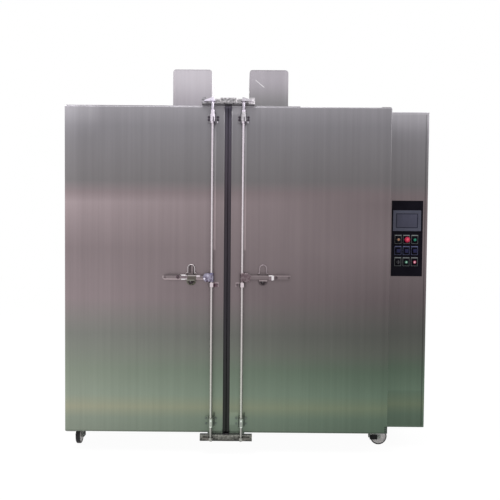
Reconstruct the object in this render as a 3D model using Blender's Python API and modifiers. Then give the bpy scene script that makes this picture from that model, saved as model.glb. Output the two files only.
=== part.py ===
"""Industrial drying oven: an insulated body on four casters, a pair of swinging doors closed by two
lock rods, a control cabinet on the right and two fan motor covers on the roof.

Metres, +Z up. The doors face -Y. The origin is on the floor, under the middle of the whole oven."""

import math

import bmesh
import bpy
from mathutils import Matrix, Vector

# Gap left between two faces that touch
SEAT = 0.0003

# Insulated body
BODY_WIDTH = 2.28
BODY_HEIGHT = 2.288
BODY_DEPTH = 1.70
WALL_THICKNESS = 0.12
GROUND_CLEARANCE = 0.152
BODY_EDGE_RADIUS = 0.006
FLOOR_TRAY_RISE = 0.004
FLOOR_TRAY_MARGIN = 0.01

# Air ducts inside the chamber
SIDE_DUCT_THICKNESS = 0.09
SIDE_DUCT_SETBACK = 0.06
CEILING_DUCT_HEIGHT = 0.22
LOUVRE_COUNT = 9
LOUVRE_HEIGHT = 0.014
LOUVRE_DEPTH = 0.02
LOUVRE_END_MARGIN = 0.12
FAN_INLET_RADIUS = 0.18
FAN_INLET_DEPTH = 0.03

# Doors
DOOR_THICKNESS = 0.145
DOOR_BACK_GAP = 0.018
DOOR_CENTRE_GAP = 0.046
DOOR_EDGE_RADIUS = 0.006
LINER_THICKNESS = 0.008
LINER_MARGIN = 0.03
SEAL_RECESS = 0.003
SEAL_DEPTH = 0.05
SEAL_NOSE_RADIUS = 0.008
GASKET_INSET = 0.08
GASKET_WIDTH = 0.03
GASKET_CORNER_RADIUS = 0.04

# Pivot hinges at the doors' outer corners
HINGE_INSET = 0.032
HINGE_PLATE_WIDTH = 0.064
HINGE_PLATE_THICKNESS = 0.012
HINGE_PLATE_FOOT = 0.05
HINGE_PIN_RADIUS = 0.01
HINGE_PIN_LENGTH = 0.03
PIN_CLEARANCE = 0.0005

# Lock rods
ROD_RADIUS = 0.009
ROD_STANDOFF = 0.055
ROD_FROM_CENTRE = 0.106
ROD_OVERREACH = 0.036
CAM_HUB_RADIUS = 0.019
CAM_TIP_RADIUS = 0.011
CAM_REACH = 0.024
CAM_THICKNESS = 0.014
CAM_CLEARANCE = 0.006
CAM_WING_LENGTH = 0.058
CAM_WING_HEIGHT = 0.028
CAM_WING_THICKNESS = 0.012
COLLAR_RADIUS = 0.016
COLLAR_HEIGHT = 0.012
BEARING_WING = 0.042
BEARING_FLANGE = 0.005
BEARING_RING = 0.018
BEARING_HEIGHT = 0.064
BEARING_DROP = 0.085
GUIDE_HEIGHT = 0.03
GUIDE_INNER_WING = 0.046
GUIDE_OUTER_WING = 0.028
GUIDE_DROP = 0.0515

# Keeper channels that the noses of the rods' cams reach into
KEEPER_HALF_WIDTH = 0.183
KEEPER_FOOT = 0.06
KEEPER_PLATE = 0.008
KEEPER_DOOR_GAP = 0.006
KEEPER_LIP_HEIGHT = 0.05
KEEPER_LIP_THICKNESS = 0.01
KEEPER_BRIDGE_HALF_WIDTH = 0.1
KEEPER_ROD_GAP = 0.008
KEEPER_CHANNEL_DEPTH = 0.022
KEEPER_CHANNEL_SINK = 0.001
KEEPER_NOTCH_INWARD = 0.05
KEEPER_NOTCH_OUTWARD = 0.044

# Handles and the catches that hold them
HANDLE_HEIGHT = 1.251
HANDLE_LENGTH = 0.34
HANDLE_PIVOT_OFFSET = 0.034
HANDLE_THICKNESS = 0.014
HANDLE_BAR_HEIGHT = 0.03
HANDLE_GRIP_HEIGHT = 0.034
HANDLE_GRIP_LENGTH = 0.11
HANDLE_TAPER_LENGTH = 0.02
HANDLE_EYE_RADIUS = 0.0085
HANDLE_HOLE_RADIUS = 0.009
HANDLE_HOLE_FROM_ROD = 0.233
HANDLE_SLEEVE_FROM_ROD = 0.18
HANDLE_SLEEVE_LENGTH = 0.032
HANDLE_SLEEVE_HEIGHT = 0.036
HANDLE_SLEEVE_DEPTH = 0.021
HANDLE_PIN_RADIUS = 0.006
HUB_RADIUS = 0.031
HUB_FROM_ROD = 0.029
HUB_DEPTH = 0.038
HUB_EDGE_RADIUS = 0.004
HUB_BOSS_RADIUS = 0.016
HUB_BOSS_HEIGHT = 0.06
HUB_SLOT_START = 0.0155
PIN_HEAD = 0.003
CATCH_FROM_ROD = 0.145
CATCH_PLATE_WIDTH = 0.068
CATCH_PLATE_ABOVE = 0.038
CATCH_PLATE_BELOW = 0.058
CATCH_PLATE_THICKNESS = 0.005
CATCH_SHELF_WIDTH = 0.056
CATCH_SHELF_THICKNESS = 0.008
CATCH_OVERHANG = 0.022
KNOB_RADIUS = 0.016
KNOB_DROP = 0.034
KNOB_REACH = 0.05
BAIL_WIRE_RADIUS = 0.003
BAIL_HALF_WIDTH = 0.024
BAIL_PIVOT_RISE = 0.026
BAIL_HEIGHT = 0.062
BAIL_STANDOFF = 0.018
EAR_THICKNESS = 0.004
EAR_RADIUS = 0.008
EAR_OFFSET = 0.031

# Control cabinet and its panel
CABINET_WIDTH = 0.305
CABINET_DEPTH = 0.90
CABINET_RISE = 0.006
CABINET_EDGE_RADIUS = 0.005
PANEL_WIDTH = 0.216
PANEL_HEIGHT = 0.546
PANEL_THICKNESS = 0.003
PANEL_CENTRE_HEIGHT = 1.538
SCREEN_WIDTH = 0.204
SCREEN_HEIGHT = 0.15
SCREEN_THICKNESS = 0.009
SCREEN_BORDER = 0.022
SCREEN_RECESS = 0.0015
SCREEN_RISE = 0.128
BUTTON_COLUMN_PITCH = 0.06
BUTTON_ROW_PITCH = 0.081
BUTTON_TOP_ROW_DROP = 0.009
COLLAR_RING_RADIUS = 0.0145
CAP_RADIUS = 0.011
BUTTON_COLLAR_HEIGHT = 0.008
STOP_COLLAR_HEIGHT = 0.014
STOP_HEAD_RADIUS = 0.02
STOP_HEAD_HEIGHT = 0.016
STOP_TRAVEL = 0.005
BUTTON_TRAVEL = 0.003
BUTTON_PROUD = 0.003
SELECTOR_BAR_LENGTH = 0.028
SELECTOR_BAR_WIDTH = 0.007
SELECTOR_BAR_HEIGHT = 0.012
LAMP_SIZE = 0.03
LAMP_DEPTH = 0.01

# Covers over the fan motors
MOTOR_COVER_WIDTH = 0.313
MOTOR_COVER_DEPTH = 0.36
MOTOR_COVER_HEIGHT = 0.46
MOTOR_COVER_RADIUS = 0.025
MOTOR_COVER_FROM_CENTRE = 0.3075
MOTOR_COVER_SETBACK = 0.55
MOTOR_COVER_FLANGE = 0.025
MOTOR_COVER_SHEET = 0.003
MOTOR_VENT_COUNT = 7
MOTOR_VENT_WIDTH = 0.2
MOTOR_VENT_HEIGHT = 0.012
MOTOR_VENT_DEPTH = 0.02
MOTOR_VENT_PITCH = 0.03
MOTOR_VENT_BOTTOM = 0.14

# Casters
CASTER_INSET = 0.045
CASTER_SETBACK = 0.11
CASTER_TRAIL = 0.04
CASTER_PLATE_SIZE = 0.08
CASTER_PLATE_THICKNESS = 0.006
SWIVEL_RADIUS = 0.032
SWIVEL_HEIGHT = 0.01
CROWN_THICKNESS = 0.004
CROWN_LENGTH = 0.064
WHEEL_RADIUS = 0.0625
WHEEL_WIDTH = 0.032
TREAD_THICKNESS = 0.008
TREAD_CROWN = 0.004
RIM_RECESS = 0.003
WHEEL_HUB_RADIUS = 0.016
AXLE_RADIUS = 0.006
AXLE_OVERHANG = 0.008
FORK_CLEARANCE = 0.003
FORK_CHEEK = 0.004
FORK_EYE_RADIUS = 0.017
LEVER_THICKNESS = 0.005
LEVER_TOP = 0.078
LEVER_LENGTH = 0.06
LEVER_ARM_HEIGHT = 0.038
PEDAL_WIDTH = 0.074
PEDAL_THICKNESS = 0.009
PEDAL_LOW = 0.084
PEDAL_HIGH = 0.098
PEDAL_TYRE_GAP = 0.006
# Which way each caster's wheel trails: degrees about +Z, where 0 is towards the oven's back
CASTERS = {
    "front_left": (-1, -1, 180.0),
    "front_right": (1, -1, -90.0),
    "rear_left": (-1, 1, 0.0),
    "rear_right": (1, 1, 0.0),
}

# Places worked out from the sizes above
LEFT = -1
RIGHT = 1
SIDES = {"left": LEFT, "right": RIGHT}
TOTAL_DEPTH = BODY_DEPTH + DOOR_BACK_GAP + DOOR_THICKNESS + ROD_STANDOFF + CATCH_OVERHANG
CENTRE_X = -(CABINET_WIDTH + SEAT) / 2
BODY_BACK_Y = TOTAL_DEPTH / 2
BODY_FRONT_Y = BODY_BACK_Y - BODY_DEPTH
DOOR_BACK_Y = BODY_FRONT_Y - DOOR_BACK_GAP
DOOR_FACE_Y = DOOR_BACK_Y - DOOR_THICKNESS
HINGE_Y = (DOOR_BACK_Y + DOOR_FACE_Y) / 2
ROD_Y = DOOR_FACE_Y - ROD_STANDOFF
BODY_BOTTOM = GROUND_CLEARANCE
BODY_TOP = BODY_BOTTOM + BODY_HEIGHT
CHAMBER_BOTTOM = BODY_BOTTOM + WALL_THICKNESS
CHAMBER_TOP = BODY_TOP - WALL_THICKNESS
CHAMBER_BACK_Y = BODY_BACK_Y - WALL_THICKNESS
CHAMBER_HALF = BODY_WIDTH / 2 - WALL_THICKNESS
DUCT_FRONT_Y = BODY_FRONT_Y + SIDE_DUCT_SETBACK
CEILING_DUCT_BOTTOM = CHAMBER_TOP - SEAT - CEILING_DUCT_HEIGHT
HINGE_FROM_CENTRE = BODY_WIDTH / 2 - HINGE_INSET
MOTOR_Y = BODY_FRONT_Y + MOTOR_COVER_SETBACK + MOTOR_COVER_DEPTH / 2
CABINET_LEFT = CENTRE_X + BODY_WIDTH / 2 + SEAT
PANEL_X = CABINET_LEFT + CABINET_WIDTH / 2
PANEL_FACE_Y = BODY_FRONT_Y - SEAT - PANEL_THICKNESS
CASTER_FROM_CENTRE = BODY_WIDTH / 2 - CASTER_INSET

ROUND_SIDES = 24
SMALL_ROUND_SIDES = 16

STAINLESS = ("brushed_stainless", (0.42, 0.41, 0.41), 0.32, 1.0)
LINER_STEEL = ("liner_stainless", (0.5, 0.5, 0.5), 0.25, 1.0)
CHROME = ("polished_chrome", (0.75, 0.74, 0.76), 0.12, 1.0)
CAST_STEEL = ("plated_steel", (0.55, 0.54, 0.55), 0.3, 1.0)
GALVANISED = ("painted_grey", (0.33, 0.32, 0.33), 0.5, 0.4)
RUBBER = ("black_silicone", (0.02, 0.02, 0.022), 0.6, 0.0)
TYRE = ("black_tyre", (0.02, 0.02, 0.02), 0.7, 0.0)
PANEL_BLACK = ("panel_black", (0.015, 0.015, 0.017), 0.35, 0.0)
SCREEN_GREY = ("screen_grey", (0.08, 0.085, 0.09), 0.3, 0.0)
STOP_RED = ("stop_red", (0.6, 0.02, 0.02), 0.35, 0.0)
START_GREEN = ("start_green", (0.03, 0.4, 0.12), 0.35, 0.0)
BUTTON_RED = ("button_red", (0.55, 0.04, 0.04), 0.35, 0.0)
KNOB_BLACK = ("knob_black", (0.02, 0.02, 0.02), 0.4, 0.0)


def clear_scene():
    for obj in list(bpy.data.objects):
        bpy.data.objects.remove(obj, do_unlink=True)


def make_collection(name):
    collection = bpy.data.collections.new(name)
    bpy.context.scene.collection.children.link(collection)
    return collection


clear_scene()
PARTS = make_collection("industrial_oven")
CUTTERS = make_collection("cutters")
CUTTERS.hide_render = True


# Building blocks


def paint(obj, finish):
    """Gives the object a Principled material of its own from a (name, colour, roughness, metallic) finish."""
    label, colour, roughness, metallic = finish
    material = bpy.data.materials.new(f"{obj.name}_{label}")
    material.use_nodes = True
    shader = material.node_tree.nodes["Principled BSDF"]
    shader.inputs["Base Color"].default_value = (*colour, 1.0)
    shader.inputs["Roughness"].default_value = roughness
    shader.inputs["Metallic"].default_value = metallic
    obj.data.materials.append(material)


def add_mesh(name, bm, frame):
    mesh = bpy.data.meshes.new(name)
    bm.to_mesh(mesh)
    bm.free()
    obj = bpy.data.objects.new(name, mesh)
    obj.matrix_world = frame
    PARTS.objects.link(obj)
    return obj


def smooth(obj, degrees=35):
    obj.data.shade_smooth()
    obj.data.set_sharp_from_angle(angle=math.radians(degrees))


def round_edges(obj, radius, segments=2):
    bevel = obj.modifiers.new("rounded_edges", "BEVEL")
    bevel.width = radius
    bevel.segments = segments
    bevel.limit_method = "ANGLE"
    bevel.angle_limit = math.radians(40)


def box(name, x, y, z, radius=0.0, frame=Matrix()):
    """A block between two x, two y and two z values, given in either order."""
    low = Vector(min(pair) for pair in (x, y, z))
    high = Vector(max(pair) for pair in (x, y, z))
    bm = bmesh.new()
    bmesh.ops.create_cube(bm, size=1.0)
    bmesh.ops.scale(bm, vec=high - low, verts=bm.verts)
    bmesh.ops.translate(bm, vec=(low + high) / 2, verts=bm.verts)
    obj = add_mesh(name, bm, frame)
    if radius:
        round_edges(obj, radius)
    return obj


def cylinder(name, start, end, radius, sides=ROUND_SIDES, frame=Matrix()):
    """A round bar between two points."""
    start = Vector(start)
    along = Vector(end) - start
    turn = along.to_track_quat("Z", "Y").to_matrix().to_4x4()
    bm = bmesh.new()
    bmesh.ops.create_cone(
        bm, cap_ends=True, segments=sides, radius1=radius, radius2=radius, depth=along.length
    )
    bmesh.ops.transform(bm, matrix=Matrix.Translation(start + along / 2) @ turn, verts=bm.verts)
    obj = add_mesh(name, bm, frame)
    smooth(obj)
    return obj


def turned(name, profile, frame, closed=False, sides=ROUND_SIDES):
    """A shape turned about the frame's Z axis from (radius, height) points, from its top down the outside."""
    bm = bmesh.new()
    points = [bm.verts.new((radius, 0.0, height)) for radius, height in profile]
    for first, second in zip(points, points[1:]):
        bm.edges.new((first, second))
    if closed:
        bm.edges.new((points[-1], points[0]))
    obj = add_mesh(name, bm, frame)
    screw = obj.modifiers.new("turned", "SCREW")
    screw.steps = sides
    screw.render_steps = sides
    screw.use_merge_vertices = True
    screw.merge_threshold = 0.00001
    screw.use_smooth_shade = False
    return obj


def arc(centre_x, centre_y, radius, start, end, steps):
    """Points along an arc, with its start and end angles in degrees."""
    angles = [math.radians(start + (end - start) * step / steps) for step in range(steps + 1)]
    return [(centre_x + radius * math.cos(a), centre_y + radius * math.sin(a)) for a in angles]


def rounded_rectangle(width, height, radius, steps=4):
    right = width / 2 - radius
    top = height / 2 - radius
    return (
        arc(right, top, radius, 0, 90, steps)
        + arc(-right, top, radius, 90, 180, steps)
        + arc(-right, -top, radius, 180, 270, steps)
        + arc(right, -top, radius, 270, 360, steps)
    )


def circle(centre_x, centre_y, radius, sides=ROUND_SIDES):
    return arc(centre_x, centre_y, radius, 0, 360, sides)[:-1]


# How a flat outline's own X and Y lie in the world, and which way its thickness runs
FROM_ABOVE = Matrix.Identity(4)
FROM_FRONT = Matrix(((1, 0, 0, 0), (0, 0, -1, 0), (0, 1, 0, 0), (0, 0, 0, 1)))
FROM_SIDE = Matrix(((0, 0, 1, 0), (1, 0, 0, 0), (0, 1, 0, 0), (0, 0, 0, 1)))


def flat(name, outlines, thickness, view, centre, frame=Matrix()):
    """A flat piece cut to one outline, any further outlines being holes, thick to both sides of its centre."""
    curve = bpy.data.curves.new(name, "CURVE")
    curve.dimensions = "2D"
    curve.fill_mode = "BOTH"
    curve.extrude = thickness / 2
    for points in outlines:
        spline = curve.splines.new("POLY")
        spline.points.add(len(points) - 1)
        for point, (u, v) in zip(spline.points, points):
            point.co = (u, v, 0.0, 1.0)
        spline.use_cyclic_u = True
    drawn = bpy.data.objects.new(name + "_outline", curve)
    PARTS.objects.link(drawn)
    obj = mesh_from(name, drawn)
    obj.matrix_world = frame @ Matrix.Translation(centre) @ view
    return obj


def mesh_from(name, drawn):
    """Turns a curve object into a mesh object with its caps welded, and removes the curve."""
    bpy.context.view_layer.update()
    evaluated = drawn.evaluated_get(bpy.context.evaluated_depsgraph_get())
    mesh = bpy.data.meshes.new_from_object(evaluated)
    mesh.name = name
    bm = bmesh.new()
    bm.from_mesh(mesh)
    bmesh.ops.remove_doubles(bm, verts=bm.verts, dist=0.00001)
    bmesh.ops.recalc_face_normals(bm, faces=bm.faces)
    bm.to_mesh(mesh)
    bm.free()
    obj = bpy.data.objects.new(name, mesh)
    obj.matrix_world = drawn.matrix_world
    bpy.data.objects.remove(drawn, do_unlink=True)
    PARTS.objects.link(obj)
    return obj


def wire(name, points, radius):
    """A round wire along a list of points, with closed ends."""
    curve = bpy.data.curves.new(name, "CURVE")
    curve.dimensions = "3D"
    curve.bevel_depth = radius
    curve.bevel_resolution = 2
    curve.use_fill_caps = True
    spline = curve.splines.new("POLY")
    spline.points.add(len(points) - 1)
    for point, place in zip(spline.points, points):
        point.co = (*place, 1.0)
    obj = bpy.data.objects.new(name, curve)
    PARTS.objects.link(obj)
    return obj


def boolean(obj, other, operation):
    PARTS.objects.unlink(other)
    CUTTERS.objects.link(other)
    other.hide_render = True
    other.display_type = "WIRE"
    modifier = obj.modifiers.new(other.name, "BOOLEAN")
    modifier.operation = operation
    modifier.solver = "EXACT"
    modifier.object = other


def join(obj, *others):
    for other in others:
        boolean(obj, other, "UNION")


def cut(obj, *others):
    for other in others:
        boolean(obj, other, "DIFFERENCE")


def joint_axis(name, place, parent=None):
    """An empty on a joint's axis, which carries what turns or slides there."""
    empty = bpy.data.objects.new(name, None)
    empty.empty_display_size = 0.05
    PARTS.objects.link(empty)
    empty.matrix_world = Matrix.Translation(place)
    if parent:
        hang(empty, parent)
    bpy.context.view_layer.update()
    return empty


def hang(obj, parent):
    """Parents the object without moving it."""
    bpy.context.view_layer.update()
    obj.parent = parent
    obj.matrix_parent_inverse = parent.matrix_world.inverted()


def across(side, offset):
    """The world x at a distance from the doors' centre line, to the given side."""
    return CENTRE_X + side * offset


# Insulated body


def make_floor():
    """The insulated floor with a raised tray in the chamber and a plate for each caster."""
    floor = box(
        "floor_panel",
        (across(LEFT, BODY_WIDTH / 2), across(RIGHT, BODY_WIDTH / 2)),
        (BODY_FRONT_Y, BODY_BACK_Y),
        (BODY_BOTTOM, CHAMBER_BOTTOM),
        BODY_EDGE_RADIUS,
    )
    for name, (side, end, _) in CASTERS.items():
        x, y = caster_place(side, end)
        half = CASTER_PLATE_SIZE / 2
        plate = box(
            name + "_plate",
            (x - half, x + half),
            (y - half, y + half),
            (BODY_BOTTOM - CASTER_PLATE_THICKNESS, BODY_BOTTOM + CASTER_PLATE_THICKNESS),
        )
        join(floor, plate)
    half = CHAMBER_HALF - SIDE_DUCT_THICKNESS - SEAT - FLOOR_TRAY_MARGIN
    tray = box(
        "floor_tray",
        (across(LEFT, half), across(RIGHT, half)),
        (BODY_FRONT_Y + FLOOR_TRAY_MARGIN, CHAMBER_BACK_Y - FLOOR_TRAY_MARGIN),
        (CHAMBER_BOTTOM - FLOOR_TRAY_RISE, CHAMBER_BOTTOM + FLOOR_TRAY_RISE),
    )
    join(floor, tray)
    paint(floor, STAINLESS)


def make_walls():
    height = (CHAMBER_BOTTOM + SEAT, CHAMBER_TOP - SEAT)
    for label, side in SIDES.items():
        wall = box(
            label + "_wall",
            (across(side, CHAMBER_HALF), across(side, BODY_WIDTH / 2)),
            (BODY_FRONT_Y, BODY_BACK_Y),
            height,
            BODY_EDGE_RADIUS,
        )
        paint(wall, STAINLESS)
    inner = CHAMBER_HALF - SEAT
    back = box("back_wall", (across(LEFT, inner), across(RIGHT, inner)), (CHAMBER_BACK_Y, BODY_BACK_Y), height)
    paint(back, STAINLESS)
    roof = box(
        "roof_panel",
        (across(LEFT, BODY_WIDTH / 2), across(RIGHT, BODY_WIDTH / 2)),
        (BODY_FRONT_Y, BODY_BACK_Y),
        (CHAMBER_TOP, BODY_TOP),
        BODY_EDGE_RADIUS,
    )
    paint(roof, STAINLESS)


def make_ducts():
    """The supply ducts on both sides of the chamber, with louvres, and the fan duct under the ceiling."""
    bottom = CHAMBER_BOTTOM + SEAT
    top = CEILING_DUCT_BOTTOM - SEAT
    pitch = (top - bottom) / (LOUVRE_COUNT + 1)
    for label, side in SIDES.items():
        outer = CHAMBER_HALF - SEAT
        inner = outer - SIDE_DUCT_THICKNESS
        duct = box(
            label + "_air_duct",
            (across(side, inner), across(side, outer)),
            (DUCT_FRONT_Y, CHAMBER_BACK_Y - SEAT),
            (bottom, top),
        )
        for row in range(LOUVRE_COUNT):
            z = bottom + pitch * (row + 1)
            slot = box(
                f"{label}_louvre_{row}",
                (across(side, inner - LOUVRE_DEPTH), across(side, inner + LOUVRE_DEPTH)),
                (DUCT_FRONT_Y + LOUVRE_END_MARGIN, CHAMBER_BACK_Y - SEAT - LOUVRE_END_MARGIN),
                (z - LOUVRE_HEIGHT / 2, z + LOUVRE_HEIGHT / 2),
            )
            cut(duct, slot)
        paint(duct, LINER_STEEL)
    half = CHAMBER_HALF - SEAT
    ceiling = box(
        "ceiling_air_duct",
        (across(LEFT, half), across(RIGHT, half)),
        (DUCT_FRONT_Y, CHAMBER_BACK_Y - SEAT),
        (CEILING_DUCT_BOTTOM, CHAMBER_TOP - SEAT),
    )
    for label, side in SIDES.items():
        x = across(side, MOTOR_COVER_FROM_CENTRE)
        inlet = cylinder(
            label + "_fan_inlet",
            (x, MOTOR_Y, CEILING_DUCT_BOTTOM - FAN_INLET_DEPTH),
            (x, MOTOR_Y, CEILING_DUCT_BOTTOM + FAN_INLET_DEPTH),
            FAN_INLET_RADIUS,
            2 * ROUND_SIDES,
        )
        cut(ceiling, inlet)
    paint(ceiling, LINER_STEEL)


def make_gasket():
    """The door gasket, one soft frame round the chamber's mouth."""
    width = BODY_WIDTH - 2 * GASKET_INSET
    height = BODY_HEIGHT - 2 * GASKET_INSET
    outer = rounded_rectangle(width, height, GASKET_CORNER_RADIUS)
    inner = rounded_rectangle(
        width - 2 * GASKET_WIDTH, height - 2 * GASKET_WIDTH, GASKET_CORNER_RADIUS - GASKET_WIDTH / 2
    )
    middle = (CENTRE_X, (BODY_FRONT_Y + DOOR_BACK_Y) / 2, BODY_BOTTOM + BODY_HEIGHT / 2)
    gasket = flat("door_gasket", [outer, inner], DOOR_BACK_GAP - 2 * SEAT, FROM_FRONT, middle)
    paint(gasket, RUBBER)


def make_motor_covers():
    """Folded sheet covers over the two fan motors, with a fixing flange along each foot."""
    half = MOTOR_COVER_WIDTH / 2
    foot = half + MOTOR_COVER_FLANGE
    top = MOTOR_COVER_HEIGHT
    radius = MOTOR_COVER_RADIUS
    outline = (
        [(-foot, 0), (foot, 0), (foot, MOTOR_COVER_SHEET), (half, MOTOR_COVER_SHEET)]
        + arc(half - radius, top - radius, radius, 0, 90, 5)
        + arc(radius - half, top - radius, radius, 90, 180, 5)
        + [(-half, MOTOR_COVER_SHEET), (-foot, MOTOR_COVER_SHEET)]
    )
    for label, side in SIDES.items():
        place = (across(side, MOTOR_COVER_FROM_CENTRE), MOTOR_Y, BODY_TOP + SEAT)
        cover = flat(label + "_motor_cover", [outline], MOTOR_COVER_DEPTH, FROM_FRONT, place)
        for row in range(MOTOR_VENT_COUNT):
            cut(cover, make_motor_vent(label, side, row))
        smooth(cover)
        paint(cover, GALVANISED)


def make_motor_vent(label, side, row):
    x = across(side, MOTOR_COVER_FROM_CENTRE)
    back = MOTOR_Y + MOTOR_COVER_DEPTH / 2
    z = BODY_TOP + MOTOR_VENT_BOTTOM + row * MOTOR_VENT_PITCH
    return box(
        f"{label}_motor_vent_{row}",
        (x - MOTOR_VENT_WIDTH / 2, x + MOTOR_VENT_WIDTH / 2),
        (back - MOTOR_VENT_DEPTH, back + MOTOR_VENT_DEPTH),
        (z, z + MOTOR_VENT_HEIGHT),
    )


# Control cabinet


def make_cabinet():
    cabinet = box(
        "control_cabinet",
        (CABINET_LEFT, CABINET_LEFT + CABINET_WIDTH),
        (BODY_FRONT_Y, BODY_FRONT_Y + CABINET_DEPTH),
        (BODY_BOTTOM + CABINET_RISE, BODY_TOP),
        CABINET_EDGE_RADIUS,
    )
    paint(cabinet, STAINLESS)


def button_place(column, row):
    """The x and z of a control, by its column and row from the panel's middle column and top row."""
    z = PANEL_CENTRE_HEIGHT - BUTTON_TOP_ROW_DROP - row * BUTTON_ROW_PITCH
    return PANEL_X + column * BUTTON_COLUMN_PITCH, z


def on_panel(x, z):
    """A frame on the panel's face, with its Z axis straight out of the panel."""
    return Matrix.Translation((x, PANEL_FACE_Y, z)) @ Matrix.Rotation(math.radians(90), 4, "X")


def make_control_panel():
    """The black panel with its lamps and the collars that guide the buttons."""
    half = PANEL_WIDTH / 2
    tall = PANEL_HEIGHT / 2
    panel = box(
        "control_panel",
        (PANEL_X - half, PANEL_X + half),
        (PANEL_FACE_Y, PANEL_FACE_Y + PANEL_THICKNESS),
        (PANEL_CENTRE_HEIGHT - tall, PANEL_CENTRE_HEIGHT + tall),
    )
    rings = {
        "stop_collar": (0, 0, STOP_COLLAR_HEIGHT),
        "start_collar": (1, 0, BUTTON_COLLAR_HEIGHT),
        "selector_collar": (-1, 2, BUTTON_COLLAR_HEIGHT),
        "green_collar": (0, 2, BUTTON_COLLAR_HEIGHT),
        "red_collar": (1, 2, BUTTON_COLLAR_HEIGHT),
    }
    bore = CAP_RADIUS + PIN_CLEARANCE
    for name, (column, row, height) in rings.items():
        x, z = button_place(column, row)
        profile = [(bore, height), (COLLAR_RING_RADIUS, height), (COLLAR_RING_RADIUS, -0.001), (bore, -0.001)]
        join(panel, turned(name, profile, on_panel(x, z), closed=True))
    lamps = [(-1, 0), (-1, 1), (0, 1), (1, 1)]
    for number, (column, row) in enumerate(lamps):
        x, z = button_place(column, row)
        half = LAMP_SIZE / 2
        lamp = box(
            f"lamp_{number}",
            (x - half, x + half),
            (PANEL_FACE_Y - LAMP_DEPTH, PANEL_FACE_Y + PANEL_THICKNESS / 2),
            (z - half, z + half),
        )
        join(panel, lamp)
    paint(panel, PANEL_BLACK)


def make_touch_screen():
    half = SCREEN_WIDTH / 2
    tall = SCREEN_HEIGHT / 2
    z = PANEL_CENTRE_HEIGHT + SCREEN_RISE
    face = PANEL_FACE_Y - SEAT - SCREEN_THICKNESS
    screen = box(
        "touch_screen",
        (PANEL_X - half, PANEL_X + half),
        (face, PANEL_FACE_Y - SEAT),
        (z - tall, z + tall),
        0.003,
    )
    glass = box(
        "screen_glass",
        (PANEL_X - half + SCREEN_BORDER, PANEL_X + half - SCREEN_BORDER),
        (face - SCREEN_RECESS, face + SCREEN_RECESS),
        (z - tall + SCREEN_BORDER, z + tall - SCREEN_BORDER),
    )
    cut(screen, glass)
    paint(screen, SCREEN_GREY)


def make_stop_button():
    """The mushroom-head emergency stop, whose stem slides in its collar."""
    x, z = button_place(0, 0)
    stem = STOP_TRAVEL + 0.001
    under = STOP_COLLAR_HEIGHT + STOP_TRAVEL + 0.001
    top = under + STOP_HEAD_HEIGHT
    profile = [
        (0, top),
        (STOP_HEAD_RADIUS * 0.55, top - 0.001),
        (STOP_HEAD_RADIUS * 0.88, top - 0.004),
        (STOP_HEAD_RADIUS, top - 0.009),
        (STOP_HEAD_RADIUS, under + 0.003),
        (STOP_HEAD_RADIUS * 0.85, under),
        (CAP_RADIUS, under),
        (CAP_RADIUS, stem),
        (0, stem),
    ]
    button = turned("emergency_stop", profile, on_panel(x, z))
    paint(button, STOP_RED)
    hang(button, joint_axis("emergency_stop_axis", (x, PANEL_FACE_Y, z)))


def make_push_button(name, column, row, finish):
    x, z = button_place(column, row)
    top = BUTTON_COLLAR_HEIGHT + BUTTON_PROUD
    stem = BUTTON_TRAVEL + 0.001
    profile = [(0, top), (CAP_RADIUS - 0.001, top), (CAP_RADIUS, top - 0.001), (CAP_RADIUS, stem), (0, stem)]
    button = turned(name, profile, on_panel(x, z))
    paint(button, finish)
    hang(button, joint_axis(name + "_axis", (x, PANEL_FACE_Y, z)))


def make_selector():
    """The rotary switch: a round body in its collar, with a bar across it to turn it by."""
    x, z = button_place(-1, 2)
    top = BUTTON_COLLAR_HEIGHT + BUTTON_PROUD
    body = [(0, top), (CAP_RADIUS, top), (CAP_RADIUS, SEAT), (0, SEAT)]
    selector = turned("selector_switch", body, on_panel(x, z))
    grip = box(
        "selector_grip",
        (-SELECTOR_BAR_WIDTH / 2, SELECTOR_BAR_WIDTH / 2),
        (-SELECTOR_BAR_LENGTH / 2, SELECTOR_BAR_LENGTH / 2),
        (top - 0.001, top + SELECTOR_BAR_HEIGHT),
        0.001,
        on_panel(x, z),
    )
    join(selector, grip)
    paint(selector, KNOB_BLACK)
    hang(selector, joint_axis("selector_switch_axis", (x, PANEL_FACE_Y, z)))


# Doors


def make_door(label, side, axis):
    """An insulated leaf with an inner liner that stands in the chamber's mouth, bored for its two pivots."""
    outer = BODY_WIDTH / 2
    inner = DOOR_CENTRE_GAP / 2
    door = box(
        label + "_door",
        (across(side, inner), across(side, outer)),
        (DOOR_FACE_Y, DOOR_BACK_Y),
        (BODY_BOTTOM, BODY_TOP),
        DOOR_EDGE_RADIUS,
    )
    liner = box(
        label + "_liner",
        (across(side, inner + LINER_MARGIN), across(side, CHAMBER_HALF - LINER_MARGIN / 2)),
        (DOOR_BACK_Y - LINER_THICKNESS, DOOR_BACK_Y + LINER_THICKNESS),
        (CHAMBER_BOTTOM + LINER_MARGIN / 2, CHAMBER_TOP - LINER_MARGIN / 2),
    )
    join(door, liner)
    x = across(side, HINGE_FROM_CENTRE)
    depth = HINGE_PIN_LENGTH + 0.004
    for end, z, way in (("upper", BODY_TOP, 1), ("lower", BODY_BOTTOM, -1)):
        bore = cylinder(
            f"{label}_{end}_pivot_bore",
            (x, HINGE_Y, z + way * depth),
            (x, HINGE_Y, z - way * depth),
            HINGE_PIN_RADIUS + PIN_CLEARANCE,
            SMALL_ROUND_SIDES,
        )
        cut(door, bore)
    paint(door, STAINLESS)
    hang(door, axis)


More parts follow.
